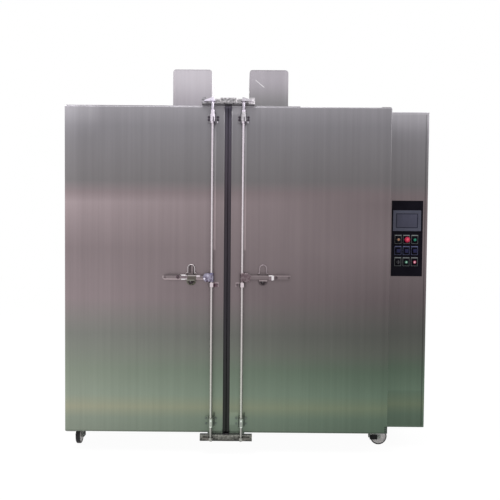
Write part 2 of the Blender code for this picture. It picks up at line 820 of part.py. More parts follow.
def make_seal(label, side, axis):
    """Half of the black centre seal, on the edge of its own leaf."""
    edge = DOOR_CENTRE_GAP / 2 - SEAT
    meeting = SEAT / 2
    front = DOOR_FACE_Y + SEAL_RECESS
    nose = SEAL_NOSE_RADIUS
    outline = [(side * meeting, front + SEAL_DEPTH), (side * edge, front + SEAL_DEPTH), (side * edge, front)]
    outline += [
        (side * (meeting + nose - u), front + nose - v) for u, v in arc(0, 0, nose, 90, 0, 4)
    ]
    centre = (CENTRE_X, 0, BODY_BOTTOM + BODY_HEIGHT / 2)
    height = BODY_HEIGHT - 2 * DOOR_EDGE_RADIUS
    seal = flat(label + "_door_seal", [outline], height, FROM_ABOVE, centre)
    paint(seal, RUBBER)
    hang(seal, axis)


def make_hinge_plates(label, side):
    """Flat pivot plates bolted over and under the body, each with a pin into the door."""
    x = across(side, HINGE_FROM_CENTRE)
    half = HINGE_PLATE_WIDTH / 2
    reach = HINGE_Y - half
    for end, z, way in (("upper", BODY_TOP, 1), ("lower", BODY_BOTTOM, -1)):
        face = z + way * SEAT
        plate = box(
            f"{label}_{end}_hinge",
            (x - half, x + half),
            (reach, BODY_FRONT_Y + HINGE_PLATE_FOOT),
            (face, face + way * HINGE_PLATE_THICKNESS),
        )
        pin = cylinder(
            f"{label}_{end}_hinge_pin",
            (x, HINGE_Y, face + way * HINGE_PLATE_THICKNESS / 2),
            (x, HINGE_Y, z - way * HINGE_PIN_LENGTH),
            HINGE_PIN_RADIUS,
            SMALL_ROUND_SIDES,
        )
        join(plate, pin)
        paint(plate, CAST_STEEL)


# Lock rods


def rod_x(side):
    return across(side, ROD_FROM_CENTRE)


def make_bearing(name, side, z, height, inner_wing, outer_wing, axis):
    """A block on the door's face with a ring round the rod and a flange to both sides of it."""
    waist = BEARING_RING + 0.004
    outline = (
        [(-inner_wing, -SEAT), (outer_wing, -SEAT), (outer_wing, -BEARING_FLANGE), (waist, -BEARING_FLANGE)]
        + arc(0, -ROD_STANDOFF, BEARING_RING, 0, -180, 10)
        + [(-waist, -BEARING_FLANGE), (-inner_wing, -BEARING_FLANGE)]
    )
    outline = [(side * u, v) for u, v in outline]
    bore = circle(0, -ROD_STANDOFF, ROD_RADIUS + PIN_CLEARANCE)
    block = flat(name, [outline, bore], height, FROM_ABOVE, (rod_x(side), DOOR_FACE_Y, z))
    paint(block, CAST_STEEL)
    hang(block, axis)


def cam_outline():
    """A round hub drawn out to a small nose that points at the oven, with straight flanks between."""
    lean = math.degrees(math.asin((CAM_HUB_RADIUS - CAM_TIP_RADIUS) / CAM_REACH))
    hub = arc(0, 0, CAM_HUB_RADIUS, 180 - lean, 360 + lean, 12)
    nose = arc(0, CAM_REACH, CAM_TIP_RADIUS, lean, 180 - lean, 6)
    return hub + nose


def make_cam(name, side, x, z, way):
    """A cam at a rod's end: its nose reaches into the keeper and its sloping wing points outwards."""
    start = KEEPER_DOOR_GAP + KEEPER_PLATE + CAM_CLEARANCE
    middle = start + CAM_THICKNESS / 2
    cam = flat(name, [cam_outline()], CAM_THICKNESS, FROM_ABOVE, (x, ROD_Y, z + way * middle))
    inner = -CAM_HUB_RADIUS / 2
    low = start + 0.001
    outline = [
        (inner, low),
        (CAM_WING_LENGTH, low),
        (CAM_WING_LENGTH, middle),
        (0, start + CAM_WING_HEIGHT),
        (inner, start + CAM_WING_HEIGHT),
    ]
    outline = [(side * u, way * v) for u, v in outline]
    wing = flat(name + "_wing", [outline], CAM_WING_THICKNESS, FROM_FRONT, (x, ROD_Y, z))
    join(cam, wing)
    return cam


def make_rod(label, side, door_axis):
    """The rod with a cam at each end, the collars that carry it and the forked hub that holds the handle."""
    x = rod_x(side)
    low = BODY_BOTTOM - ROD_OVERREACH
    high = BODY_TOP + ROD_OVERREACH
    axis = joint_axis(label + "_rod_axis", (x, ROD_Y, HANDLE_HEIGHT), door_axis)
    rod = cylinder(label + "_lock_rod", (x, ROD_Y, low), (x, ROD_Y, high), ROD_RADIUS)
    for end, z, way in (("upper", BODY_TOP, 1), ("lower", BODY_BOTTOM, -1)):
        join(rod, make_cam(f"{label}_{end}_cam", side, x, z, way))
    bearing_top = BODY_TOP - BEARING_DROP + BEARING_HEIGHT / 2
    bearing_foot = bearing_top - BEARING_HEIGHT
    for end, z in (("upper", bearing_top + SEAT), ("lower", bearing_foot - SEAT - COLLAR_HEIGHT)):
        collar = cylinder(
            f"{label}_{end}_collar", (x, ROD_Y, z), (x, ROD_Y, z + COLLAR_HEIGHT), COLLAR_RADIUS
        )
        join(rod, collar)
    join(rod, make_handle_hub(label, side, x))
    pivot_x = x + side * HANDLE_PIVOT_OFFSET
    pin = cylinder(
        label + "_handle_pin",
        (pivot_x, ROD_Y - HUB_DEPTH / 2 - PIN_HEAD, HANDLE_HEIGHT),
        (pivot_x, ROD_Y + HUB_DEPTH / 2 + PIN_HEAD, HANDLE_HEIGHT),
        HANDLE_PIN_RADIUS,
        SMALL_ROUND_SIDES,
    )
    join(rod, pin)
    smooth(rod)
    paint(rod, CHROME)
    hang(rod, axis)
    return axis


def make_handle_hub(label, side, x):
    """A boss round the rod with two round cheeks, with a slot between them for the handle's tang."""
    disc = circle(0, 0, HUB_RADIUS, 2 * ROUND_SIDES)
    place = (x + side * HUB_FROM_ROD, ROD_Y, HANDLE_HEIGHT)
    hub = flat(label + "_handle_hub", [disc], HUB_DEPTH, FROM_FRONT, place)
    round_edges(hub, HUB_EDGE_RADIUS)
    boss = cylinder(
        label + "_handle_boss",
        (x, ROD_Y, HANDLE_HEIGHT - HUB_BOSS_HEIGHT / 2),
        (x, ROD_Y, HANDLE_HEIGHT + HUB_BOSS_HEIGHT / 2),
        HUB_BOSS_RADIUS,
    )
    join(hub, boss)
    half_slot = HANDLE_THICKNESS / 2 + PIN_CLEARANCE
    slot = box(
        label + "_handle_slot",
        (x + side * HUB_SLOT_START, x + side * (HUB_FROM_ROD + 2 * HUB_RADIUS)),
        (ROD_Y - half_slot, ROD_Y + half_slot),
        (HANDLE_HEIGHT - HUB_BOSS_HEIGHT, HANDLE_HEIGHT + HUB_BOSS_HEIGHT),
    )
    cut(hub, slot)
    return hub


def make_handle(label, side, rod_axis):
    """A flat bar with a sleeve and a grip that ends in an eye, bored for the pin that it lifts about."""
    length = HANDLE_LENGTH - HANDLE_PIVOT_OFFSET
    bar = HANDLE_BAR_HEIGHT / 2
    grip = HANDLE_GRIP_HEIGHT / 2
    grip_start = length - HANDLE_GRIP_LENGTH
    outline = (
        arc(0, 0, bar, 90, 270, 8)
        + [(grip_start - HANDLE_TAPER_LENGTH, -bar), (grip_start, -grip)]
        + arc(length - grip, 0, grip, -90, 90, 8)
        + [(grip_start, grip), (grip_start - HANDLE_TAPER_LENGTH, bar)]
    )
    outline = [(side * u, v) for u, v in outline]
    bore = circle(0, 0, HANDLE_PIN_RADIUS + PIN_CLEARANCE, SMALL_ROUND_SIDES)
    eye = circle(side * (length - grip), 0, HANDLE_EYE_RADIUS, SMALL_ROUND_SIDES)
    hole_x = side * (HANDLE_HOLE_FROM_ROD - HANDLE_PIVOT_OFFSET)
    hole = circle(hole_x, 0, HANDLE_HOLE_RADIUS, SMALL_ROUND_SIDES)
    place = (rod_x(side) + side * HANDLE_PIVOT_OFFSET, ROD_Y, HANDLE_HEIGHT)
    handle = flat(label + "_handle", [outline, bore, eye, hole], HANDLE_THICKNESS, FROM_FRONT, place)
    sleeve_start = rod_x(side) + side * HANDLE_SLEEVE_FROM_ROD
    sleeve = box(
        label + "_handle_sleeve",
        (sleeve_start, sleeve_start + side * HANDLE_SLEEVE_LENGTH),
        (ROD_Y - HANDLE_SLEEVE_DEPTH / 2, ROD_Y + HANDLE_SLEEVE_DEPTH / 2),
        (HANDLE_HEIGHT - HANDLE_SLEEVE_HEIGHT / 2, HANDLE_HEIGHT + HANDLE_SLEEVE_HEIGHT / 2),
        0.002,
    )
    join(handle, sleeve)
    paint(handle, CAST_STEEL)
    hang(handle, joint_axis(label + "_handle_axis", place, rod_axis))


def make_catch(label, side, door_axis):
    """The plate on the door with the shelf that carries the handle, a round knob below and two ears above."""
    x = rod_x(side) + side * CATCH_FROM_ROD
    half = CATCH_PLATE_WIDTH / 2
    back = DOOR_FACE_Y - SEAT
    face = back - CATCH_PLATE_THICKNESS
    outline = [(half, CATCH_PLATE_ABOVE), (-half, CATCH_PLATE_ABOVE)]
    outline += arc(0, half - CATCH_PLATE_BELOW, half, 180, 360, 12)
    place = (x, (face + back) / 2, HANDLE_HEIGHT)
    catch = flat(label + "_handle_catch", [outline], CATCH_PLATE_THICKNESS, FROM_FRONT, place)
    shelf_top = HANDLE_HEIGHT - HANDLE_BAR_HEIGHT / 2 - SEAT
    shelf = box(
        label + "_catch_shelf",
        (x - CATCH_SHELF_WIDTH / 2, x + CATCH_SHELF_WIDTH / 2),
        (ROD_Y - CATCH_OVERHANG, back - 0.001),
        (shelf_top - CATCH_SHELF_THICKNESS, shelf_top),
    )
    knob_z = HANDLE_HEIGHT - KNOB_DROP
    knob = cylinder(
        label + "_catch_knob", (x, back - 0.001, knob_z), (x, DOOR_FACE_Y - KNOB_REACH, knob_z), KNOB_RADIUS
    )
    join(catch, shelf, knob)
    pivot_y = DOOR_FACE_Y - BAIL_STANDOFF
    pivot_z = HANDLE_HEIGHT + BAIL_PIVOT_RISE
    for end in (-1, 1):
        ear = flat(
            f"{label}_ear_{'a' if end < 0 else 'b'}",
            [
                [(back - 0.001, -EAR_RADIUS)]
                + arc(pivot_y, 0, EAR_RADIUS, 270, 90, 8)
                + [(back - 0.001, EAR_RADIUS)],
                circle(pivot_y, 0, BAIL_WIRE_RADIUS + PIN_CLEARANCE, SMALL_ROUND_SIDES),
            ],
            EAR_THICKNESS,
            FROM_SIDE,
            (x + end * EAR_OFFSET, 0, pivot_z),
        )
        join(catch, ear)
    paint(catch, CAST_STEEL)
    hang(catch, door_axis)
    make_bail(label, x, pivot_y, pivot_z, door_axis)


def make_bail(label, x, pivot_y, pivot_z, door_axis):
    """The wire bail that stands over the catch, its ends turned out through the ears."""
    end = EAR_OFFSET + EAR_THICKNESS / 2 + 0.0015
    half = BAIL_HALF_WIDTH
    bend = 3 * BAIL_WIRE_RADIUS / 2
    shoulder = BAIL_HEIGHT - half
    right_leg = arc(half + bend, bend, bend, 270, 180, 3) + arc(0, shoulder, half, 0, 90, 6)
    left_leg = [(-u, v) for u, v in reversed(right_leg[:-1])]
    outline = [(end, 0)] + right_leg + left_leg + [(-end, 0)]
    bail = wire(label + "_catch_bail", [(x + u, pivot_y, pivot_z + v) for u, v in outline], BAIL_WIRE_RADIUS)
    paint(bail, CHROME)
    hang(bail, joint_axis(label + "_bail_axis", (x, pivot_y, pivot_z), door_axis))


def make_keeper(name, z, way, bridge_half_width):
    """A plate fixed to the body that ends in a channel beyond the doors, notched for the rods' cams.

    The plate is as wide as its bridge over the doors, and the channel keeps its whole width."""
    front = ROD_Y + ROD_RADIUS + KEEPER_ROD_GAP
    lip_back = front + KEEPER_LIP_THICKNESS
    rear_lip = lip_back + KEEPER_CHANNEL_DEPTH
    back = BODY_FRONT_Y + KEEPER_FOOT
    plate_top = KEEPER_DOOR_GAP + KEEPER_PLATE
    channel_floor = plate_top - KEEPER_CHANNEL_SINK
    outline = [
        (back, SEAT),
        (back, plate_top),
        (rear_lip + KEEPER_PLATE, plate_top),
        (rear_lip + KEEPER_PLATE, KEEPER_LIP_HEIGHT),
        (rear_lip, KEEPER_LIP_HEIGHT),
        (rear_lip, channel_floor),
        (lip_back, channel_floor),
        (lip_back, KEEPER_LIP_HEIGHT),
        (front, KEEPER_LIP_HEIGHT),
        (front, KEEPER_DOOR_GAP),
        (BODY_FRONT_Y + DOOR_EDGE_RADIUS, KEEPER_DOOR_GAP),
        (BODY_FRONT_Y + DOOR_EDGE_RADIUS, SEAT),
    ]
    outline = [(y, way * rise) for y, rise in outline]
    beam = flat(name, [outline], 2 * KEEPER_HALF_WIDTH, FROM_SIDE, (CENTRE_X, 0, z))
    middle = front + KEEPER_LIP_THICKNESS / 2
    for label, side in SIDES.items():
        inner = ROD_FROM_CENTRE - KEEPER_NOTCH_INWARD
        outer = ROD_FROM_CENTRE + KEEPER_NOTCH_OUTWARD
        notch = box(
            f"{name}_{label}_notch",
            (across(side, inner), across(side, outer)),
            (middle - KEEPER_LIP_THICKNESS, middle + KEEPER_LIP_THICKNESS),
            (z + way * plate_top, z + way * 2 * KEEPER_LIP_HEIGHT),
        )
        cut(beam, notch)
        if bridge_half_width < KEEPER_HALF_WIDTH:
            window = box(
                f"{name}_{label}_window",
                (across(side, bridge_half_width), across(side, 2 * KEEPER_HALF_WIDTH)),
                (rear_lip + KEEPER_PLATE, back + KEEPER_FOOT),
                (z - way * KEEPER_PLATE, z + way * (plate_top + KEEPER_PLATE)),
            )
            cut(beam, window)
    paint(beam, STAINLESS)


# Casters


def caster_place(side, end):
    """The x and y of a caster's swivel axis; end is -1 at the oven's front and 1 at its back."""
    y = BODY_FRONT_Y + CASTER_SETBACK if end < 0 else BODY_BACK_Y - CASTER_SETBACK
    return across(side, CASTER_FROM_CENTRE), y


def make_caster(name, side, end, turn):
    """A swivel fork with its brake pedal, and the wheel on its axle."""
    x, y = caster_place(side, end)
    frame = Matrix.Translation((x, y, 0)) @ Matrix.Rotation(math.radians(turn), 4, "Z")
    swivel_axis = joint_axis(name + "_swivel_axis", (x, y, BODY_BOTTOM))
    make_fork(name, frame, swivel_axis)
    centre = frame @ Vector((0, CASTER_TRAIL, WHEEL_RADIUS))
    wheel_axis = joint_axis(name + "_wheel_axis", centre, swivel_axis)
    half = WHEEL_WIDTH / 2
    bore = AXLE_RADIUS + PIN_CLEARANCE
    rim = WHEEL_RADIUS - TREAD_THICKNESS
    web = half - RIM_RECESS
    upper_half = [
        (bore, half),
        (WHEEL_HUB_RADIUS, half),
        (WHEEL_HUB_RADIUS + RIM_RECESS, web),
        (rim - RIM_RECESS, web),
        (rim, half),
        (WHEEL_RADIUS - TREAD_CROWN, half),
        (WHEEL_RADIUS, half - TREAD_CROWN),
    ]
    profile = upper_half + [(radius, -height) for radius, height in reversed(upper_half)]
    axle_frame = frame @ Matrix.Translation((0, CASTER_TRAIL, WHEEL_RADIUS))
    axle_frame = axle_frame @ Matrix.Rotation(math.pi / 2, 4, "Y")
    wheel = turned(name + "_wheel", profile, axle_frame, closed=True)
    paint(wheel, TYRE)
    hang(wheel, wheel_axis)


def make_fork(name, frame, swivel_axis):
    """Swivel head, crown and two tapered cheeks round the wheel, with the axle and the brake lever."""
    top = BODY_BOTTOM - CASTER_PLATE_THICKNESS - SEAT
    crown_top = top - SWIVEL_HEIGHT
    crown_low = crown_top - CROWN_THICKNESS
    inner = WHEEL_WIDTH / 2 + FORK_CLEARANCE
    outer = inner + FORK_CHEEK
    back = CROWN_LENGTH / 2
    fork = box(name + "_fork", (-outer, outer), (-back, back), (crown_low, crown_top), 0.0, frame)
    head = cylinder(
        name + "_swivel_head", (0, 0, crown_low + 0.001), (0, 0, top), SWIVEL_RADIUS, ROUND_SIDES, frame
    )
    join(fork, head)
    eye = arc(CASTER_TRAIL, WHEEL_RADIUS, FORK_EYE_RADIUS, 30, -190, 8)
    cheek_outline = [(-back, crown_top - 0.001), (back, crown_top - 0.001)] + eye
    lever_outline, pedal_y = brake_lever()
    for letter, end in (("a", -1), ("b", 1)):
        for piece, outline, start, thickness in (
            ("cheek", cheek_outline, inner, FORK_CHEEK),
            ("lever", lever_outline, outer - 0.001, LEVER_THICKNESS),
        ):
            middle = (end * (start + thickness / 2), 0, 0)
            join(fork, flat(f"{name}_{piece}_{letter}", [outline], thickness, FROM_SIDE, middle, frame))
    pedal = box(
        name + "_pedal",
        (-PEDAL_WIDTH / 2, PEDAL_WIDTH / 2),
        (pedal_y - PEDAL_THICKNESS, pedal_y),
        (PEDAL_LOW, PEDAL_HIGH),
        0.002,
        frame,
    )
    axle = cylinder(
        name + "_axle",
        (-outer - AXLE_OVERHANG, CASTER_TRAIL, WHEEL_RADIUS),
        (outer + AXLE_OVERHANG, CASTER_TRAIL, WHEEL_RADIUS),
        AXLE_RADIUS,
        SMALL_ROUND_SIDES,
        frame,
    )
    join(fork, pedal, axle)
    paint(fork, CAST_STEEL)
    hang(fork, swivel_axis)


def brake_lever():
    """The side plate of the brake lever, seen from the side, and the y of the pedal's face by the tyre."""
    rise = PEDAL_LOW - WHEEL_RADIUS
    tyre_y = CASTER_TRAIL - math.sqrt(WHEEL_RADIUS**2 - rise**2)
    pedal_y = tyre_y - PEDAL_TYRE_GAP
    front = pedal_y - PEDAL_THICKNESS / 2
    arm_low = LEVER_TOP - LEVER_ARM_HEIGHT
    pedal_middle = (PEDAL_LOW + PEDAL_HIGH) / 2
    outline = [
        (front, pedal_middle),
        (front, arm_low + LEVER_ARM_HEIGHT / 3),
        (front + LEVER_ARM_HEIGHT / 3, arm_low),
        (front + LEVER_LENGTH, arm_low),
        (front + LEVER_LENGTH, LEVER_TOP),
        (pedal_y + LEVER_ARM_HEIGHT / 3, LEVER_TOP),
        (pedal_y, pedal_middle),
    ]
    return outline, pedal_y


def main():
    make_floor()
    make_walls()
    make_ducts()
    make_gasket()
    make_motor_covers()
    make_cabinet()
    make_control_panel()
    make_touch_screen()
    make_stop_button()
    make_push_button("start_button", 1, 0, START_GREEN)
    make_push_button("green_button", 0, 2, START_GREEN)
    make_push_button("red_button", 1, 2, BUTTON_RED)
    make_selector()
    make_keeper("upper_keeper_beam", BODY_TOP, 1, KEEPER_HALF_WIDTH)
    make_keeper("lower_keeper_beam", BODY_BOTTOM, -1, KEEPER_BRIDGE_HALF_WIDTH)
    for label, side in SIDES.items():
        make_hinge_plates(label, side)
        place = (across(side, HINGE_FROM_CENTRE), HINGE_Y, BODY_BOTTOM)
        door_axis = joint_axis(label + "_door_axis", place)
        make_door(label, side, door_axis)
        make_seal(label, side, door_axis)
        upper = BODY_TOP - BEARING_DROP
        lower = BODY_BOTTOM + BEARING_DROP
        for end, z in (("upper", upper), ("lower", lower)):
            name = f"{label}_{end}_rod_bearing"
            make_bearing(name, side, z, BEARING_HEIGHT, BEARING_WING, BEARING_WING, door_axis)
        z = HANDLE_HEIGHT - GUIDE_DROP
        make_bearing(
            label + "_rod_guide", side, z, GUIDE_HEIGHT, GUIDE_INNER_WING, GUIDE_OUTER_WING, door_axis
        )
        rod_axis = make_rod(label, side, door_axis)
        make_handle(label, side, rod_axis)
        make_catch(label, side, door_axis)
    for name, (side, end, turn) in CASTERS.items():
        make_caster(name, side, end, turn)


main()
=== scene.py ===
"""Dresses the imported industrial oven: brushed steel, chrome lock gear, the panel's lamps and the casters."""

import math

import bmesh
import bpy
from mathutils import Matrix, Vector


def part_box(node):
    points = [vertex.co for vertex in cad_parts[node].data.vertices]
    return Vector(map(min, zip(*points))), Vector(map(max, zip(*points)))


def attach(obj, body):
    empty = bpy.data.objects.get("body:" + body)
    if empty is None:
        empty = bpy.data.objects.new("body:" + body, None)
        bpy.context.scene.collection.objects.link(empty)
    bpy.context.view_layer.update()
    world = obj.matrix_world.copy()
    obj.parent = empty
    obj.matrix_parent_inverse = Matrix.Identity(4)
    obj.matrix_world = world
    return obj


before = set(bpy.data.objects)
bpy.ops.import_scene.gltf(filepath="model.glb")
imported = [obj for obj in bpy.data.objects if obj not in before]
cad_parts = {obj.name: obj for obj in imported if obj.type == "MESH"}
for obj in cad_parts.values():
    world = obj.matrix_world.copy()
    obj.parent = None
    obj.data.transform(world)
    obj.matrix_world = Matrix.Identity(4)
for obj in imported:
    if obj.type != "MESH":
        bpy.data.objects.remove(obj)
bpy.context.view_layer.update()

# Camera, as the photograph was taken
CAMERA_PLACE = (-0.0453, -5.3065, 1.3905)
CAMERA_PITCH = -2.0192
CAMERA_YAW = 0.147
CAMERA_ROLL = 0.4848
CAMERA_LENS = 45.337
CAMERA_SHIFT = (0.0184, 0.0594)

# Tints of the painted reflections in the steel, as shares of the brightest channel
MINT = (0.945, 1.0, 0.91)
OLIVE = (1.0, 1.0, 0.87)
STONE = (0.99, 1.0, 0.96)
ROSE = (1.0, 0.91, 0.93)
LILAC = (1.0, 0.97, 0.985)
VIOLET = (0.985, 0.965, 1.0)

# Painted reflections of the room: what the brushed fronts mirror, from the floor up: height, lightness at the
# left-hand edge, the share lost by the right-hand edge, and the tint
FRONT_REFLECTION_BANDS = (
    (0.17, 0.55, 0.31, MINT),
    (0.25, 0.57, 0.30, MINT),
    (0.33, 0.615, 0.28, OLIVE),
    (0.42, 0.60, 0.29, MINT),
    (0.60, 0.56, 0.34, MINT),
    (0.85, 0.505, 0.36, STONE),
    (1.10, 0.57, 0.345, ROSE),
    (1.45, 0.54, 0.17, ROSE),
    (1.77, 0.635, 0.325, ROSE),
    (1.84, 0.55, 0.20, ROSE),
    (1.925, 0.475, 0.125, LILAC),
    (2.30, 0.52, 0.07, VIOLET),
    (2.44, 0.595, 0.08, VIOLET),
)
# How much deeper the green of the painted reflections low down is at the right-hand edge
DEEP_MINT = (0.90, 1.0, 0.95)

# The lock rods, from the floor up: painted reflections of the chrome
ROD_BANDS = (
    (0.13, (0.60, 0.60, 0.58)),
    (0.30, (0.76, 0.77, 0.73)),
    (0.90, (0.78, 0.75, 0.75)),
    (1.60, (0.87, 0.83, 0.85)),
    (2.34, (0.88, 0.84, 0.88)),
    (2.40, (0.88, 0.84, 0.90)),
)

# The rubber of the centre seal, from the floor up, painted lighter upwards as painted light and palest where
# the keeper shades it
SEAL_BANDS = (
    (0.3, (0.15, 0.16, 0.15)),
    (1.0, (0.18, 0.17, 0.19)),
    (1.8, (0.23, 0.20, 0.23)),
    (2.40, (0.30, 0.285, 0.33)),
    (2.42, (0.33, 0.315, 0.365)),
    (2.43, (0.42, 0.40, 0.46)),
)

COLOURS = {
    "liner": (0.67, 0.67, 0.67),
    "plated": (0.62, 0.60, 0.62),
    "panel": (0.04, 0.03, 0.07),
    "bezel": (0.28, 0.285, 0.34),
    "display": (0.25, 0.25, 0.31),
    "display_edge": (0.10, 0.10, 0.17),
    "legend": (0.36, 0.38, 0.38),
    "legend_bar": (0.44, 0.46, 0.46),
    "meter_frame": (0.29, 0.31, 0.45),
    "meter": (0.075, 0.08, 0.24),
    "amber": (0.66, 0.47, 0.35),
    "black": (0.05, 0.05, 0.055),
    "tyre": (0.08, 0.07, 0.08),
    "wheel_core": (0.90, 0.885, 0.88),
    "fork": (0.50, 0.52, 0.50),
}

# Bolt colours; the mint and rose ones carry the painted reflection tints of the door steel around them
FASTENER_COLOURS = {
    "dark": (0.30, 0.27, 0.31),
    "mint": (0.44, 0.48, 0.45),
    "rose": (0.44, 0.39, 0.41),
    "shoe": (0.24, 0.27, 0.25),
    "strip": (0.30, 0.31, 0.30),
}


def linear(colour):
    """Display values as linear light."""
    return tuple(c / 12.92 if c <= 0.04045 else ((c + 0.055) / 1.055) ** 2.4 for c in colour)


def grey(value):
    return (value, value, value)


SIDES = {"left": -1, "right": 1}
OUT = (0, -1, 0)
FLAT = (1, 0, 1)
GRAIN_DEPTH = 0.0002
SHEET_RADIUS = 0.0006


def corners(node):
    """The node's lowest and highest corners at rest."""
    return tuple(Vector(corner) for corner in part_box(node))


def middle(node):
    return sum(corners(node), Vector()) / 2


# Places taken from the frame
BODY_LEFT, BODY_RIGHT = (corner.x for corner in corners("floor_panel"))
BODY_BOTTOM, BODY_TOP = (corner.z for corner in corners("left_door"))
CENTRE_X = (BODY_LEFT + BODY_RIGHT) / 2
ROD_X = {side: middle(f"{side}_upper_rod_bearing").x for side in SIDES}
HANDLE_Z = middle("left_handle").z
BEARING_FOOT, BEARING_TOP = (corner.z for corner in corners("left_upper_rod_bearing"))
PANEL_LOW, PANEL_HIGH = corners("control_panel")
PANEL_THICKNESS = 0.003
PANEL_FACE_Y = PANEL_HIGH.y - PANEL_THICKNESS


# Material building


class Nodes:
    """Builds one node tree; a value given as a socket is linked, and any other is set."""

    def __init__(self, tree):
        self.tree = tree
        self.shader = tree.nodes.get("Principled BSDF")
        self.axes = None

    def add(self, kind, inputs=None, **settings):
        node = self.tree.nodes.new(kind)
        for key, value in settings.items():
            setattr(node, key, value)
        for key, value in (inputs or {}).items():
            self.feed(node.inputs[key], value)
        return node

    def feed(self, socket, value):
        if isinstance(value, bpy.types.NodeSocket):
            self.tree.links.new(value, socket)
        else:
            socket.default_value = value

    def math(self, operation, a, b=0.0, c=0.0):
        return self.add("ShaderNodeMath", {0: a, 1: b, 2: c}, operation=operation).outputs[0]

    def plus(self, a, b):
        return self.math("ADD", a, b)

    def apart(self, a, b):
        """How far two values are from each other."""
        return self.math("ABSOLUTE", self.math("SUBTRACT", a, b))

    def either(self, a, b):
        return self.math("MAXIMUM", a, b)

    def vector(self, operation, a, b=None):
        """Sums with vectors; SCALE takes a number as its second value, and LENGTH takes none."""
        inputs = {0: a} if b is None else {0: a, "Scale" if operation == "SCALE" else 1: b}
        node = self.add("ShaderNodeVectorMath", inputs, operation=operation)
        return node.outputs["Value" if operation in ("LENGTH", "DISTANCE", "DOT_PRODUCT") else 0]

    def times(self, *values):
        product = values[0]
        for value in values[1:]:
            product = self.math("MULTIPLY", product, value)
        return product

    def coordinates(self):
        return self.add("ShaderNodeTexCoord").outputs["Object"]

    def place(self):
        """The x, y and z of the point, in the oven's own frame at rest."""
        if self.axes is None:
            self.axes = tuple(self.add("ShaderNodeSeparateXYZ", {0: self.coordinates()}).outputs)
        return self.axes

    def normal(self):
        """The x, y and z of the way that the surface faces, in the oven's own frame at rest."""
        source = self.add("ShaderNodeTexCoord").outputs["Normal"]
        return tuple(self.add("ShaderNodeSeparateXYZ", {0: source}).outputs)

    def noise(self, scale, detail, roughness):
        """Noise whose scale is given along x, y and z, in waves a metre."""
        spread = self.add("ShaderNodeMapping", {"Vector": self.coordinates(), "Scale": scale}).outputs[0]
        inputs = {"Vector": spread, "Scale": 1.0, "Detail": detail, "Roughness": roughness}
        return self.add("ShaderNodeTexNoise", inputs).outputs["Fac"]

    def between(self, value, low, high):
        """The value, from 0 to 1, stretched to run from low to high."""
        inputs = {"Value": value, "To Min": low, "To Max": high}
        return self.add("ShaderNodeMapRange", inputs).outputs[0]

    def step(self, value, start, end):
        """0 before start, 1 after end and a smooth rise between them; start may be the larger one."""
        inputs = {"Value": value, "From Min": start, "From Max": end}
        return self.add("ShaderNodeMapRange", inputs, interpolation_type="SMOOTHSTEP").outputs[0]

    def within(self, value, low, high, soft=0.001):
        return self.times(self.step(value, low - soft, low), self.step(value, high + soft, high))

    def disc(self, x, z, radius, soft=0.001):
        """1 inside a round spot, as seen from the front."""
        offset = self.vector("SUBTRACT", self.coordinates(), (x, 0, z))
        reach = self.vector("LENGTH", self.vector("MULTIPLY", offset, FLAT))
        return self.step(reach, radius + soft, radius - soft)

    def facing_front(self):
        """1 on what faces the front, and 0 elsewhere."""
        return self.step(self.normal()[1], -0.5, -0.8)

    def gain(self, mask, amount):
        """1 where the mask is 0, and that much more or less where it is 1."""
        return self.math("MULTIPLY_ADD", mask, amount, 1.0)

    def ramp(self, value, stops):
        node = self.add("ShaderNodeValToRGB", {"Fac": value})
        elements = node.color_ramp.elements
        while len(elements) < len(stops):
            elements.new(1.0)
        for element, (position, colour) in zip(elements, stops):
            element.position = position
            element.color = (*colour, 1.0)
        return node.outputs["Color"]

    def by_height(self, bands):
        """The bands' colours at their heights, with soft changes between them."""
        height = self.math("DIVIDE", self.place()[2], BODY_TOP)
        return self.ramp(height, [(z / BODY_TOP, colour) for z, colour in bands])

    def mix(self, factor, a, b):
        a, b = (c if isinstance(c, bpy.types.NodeSocket) else (*c, 1.0) for c in (a, b))
        return self.add("ShaderNodeMix", {0: factor, 6: a, 7: b}, data_type="RGBA").outputs[2]

    def scaled(self, colour, factor):
        """The colour made lighter or darker by a factor that varies over the surface."""
        return self.vector("SCALE", colour, factor)

    def to_light(self, colour):
        """A display colour as linear light."""
        return self.add("ShaderNodeGamma", {0: colour, 1: 2.2}).outputs[0]

    def connect(self, **sockets):
        """Sets or links the shader's sockets, named with underscores for spaces."""
        for name, value in sockets.items():
            self.feed(self.shader.inputs[name.replace("_", " ")], value)

    def bump(self, height, distance, strength):
        node = self.add("ShaderNodeBump", {"Height": height, "Distance": distance, "Strength": strength})
        return node.outputs["Normal"]


def new_material(name):
    material = bpy.data.materials.new(name)
    material.use_nodes = True
    return material, Nodes(material.node_tree)


MARK_SOFTNESS = (0.004, 0.016)
# Where the painted highlight along the doors' heads fades in, across x
HEAD_HIGHLIGHT_STARTS = (-0.62, -0.52)


def front_shadows_and_reflections():
    """Painted shadows and reflections on the fronts, mostly of the lock gear: a range of x, one of z and the
    change of lightness.
    """
    bail = middle("left_catch_bail").x
    marks = [
        ((bail - 0.013, bail - 0.005), (1.288, 1.330), -0.4),
        ((bail + 0.015, bail + 0.023), (1.276, 1.325), -0.4),
        ((CENTRE_X + 0.025, CENTRE_X + 0.085), (2.39, 2.43), 0.10),
        ((CENTRE_X + 0.025, CENTRE_X + 0.085), (0.215, 0.29), 0.10),
        ((BODY_RIGHT + 0.01, BODY_RIGHT + 0.35), (0.18, 0.42), -0.05),
    ]
    for rod in ROD_X.values():
        marks.append(((rod + 0.007, rod + 0.021), (1.45, 2.3), 0.24))
        marks.append(((rod + 0.018, rod + 0.025), (0.210, 0.290), -0.3))
    return marks


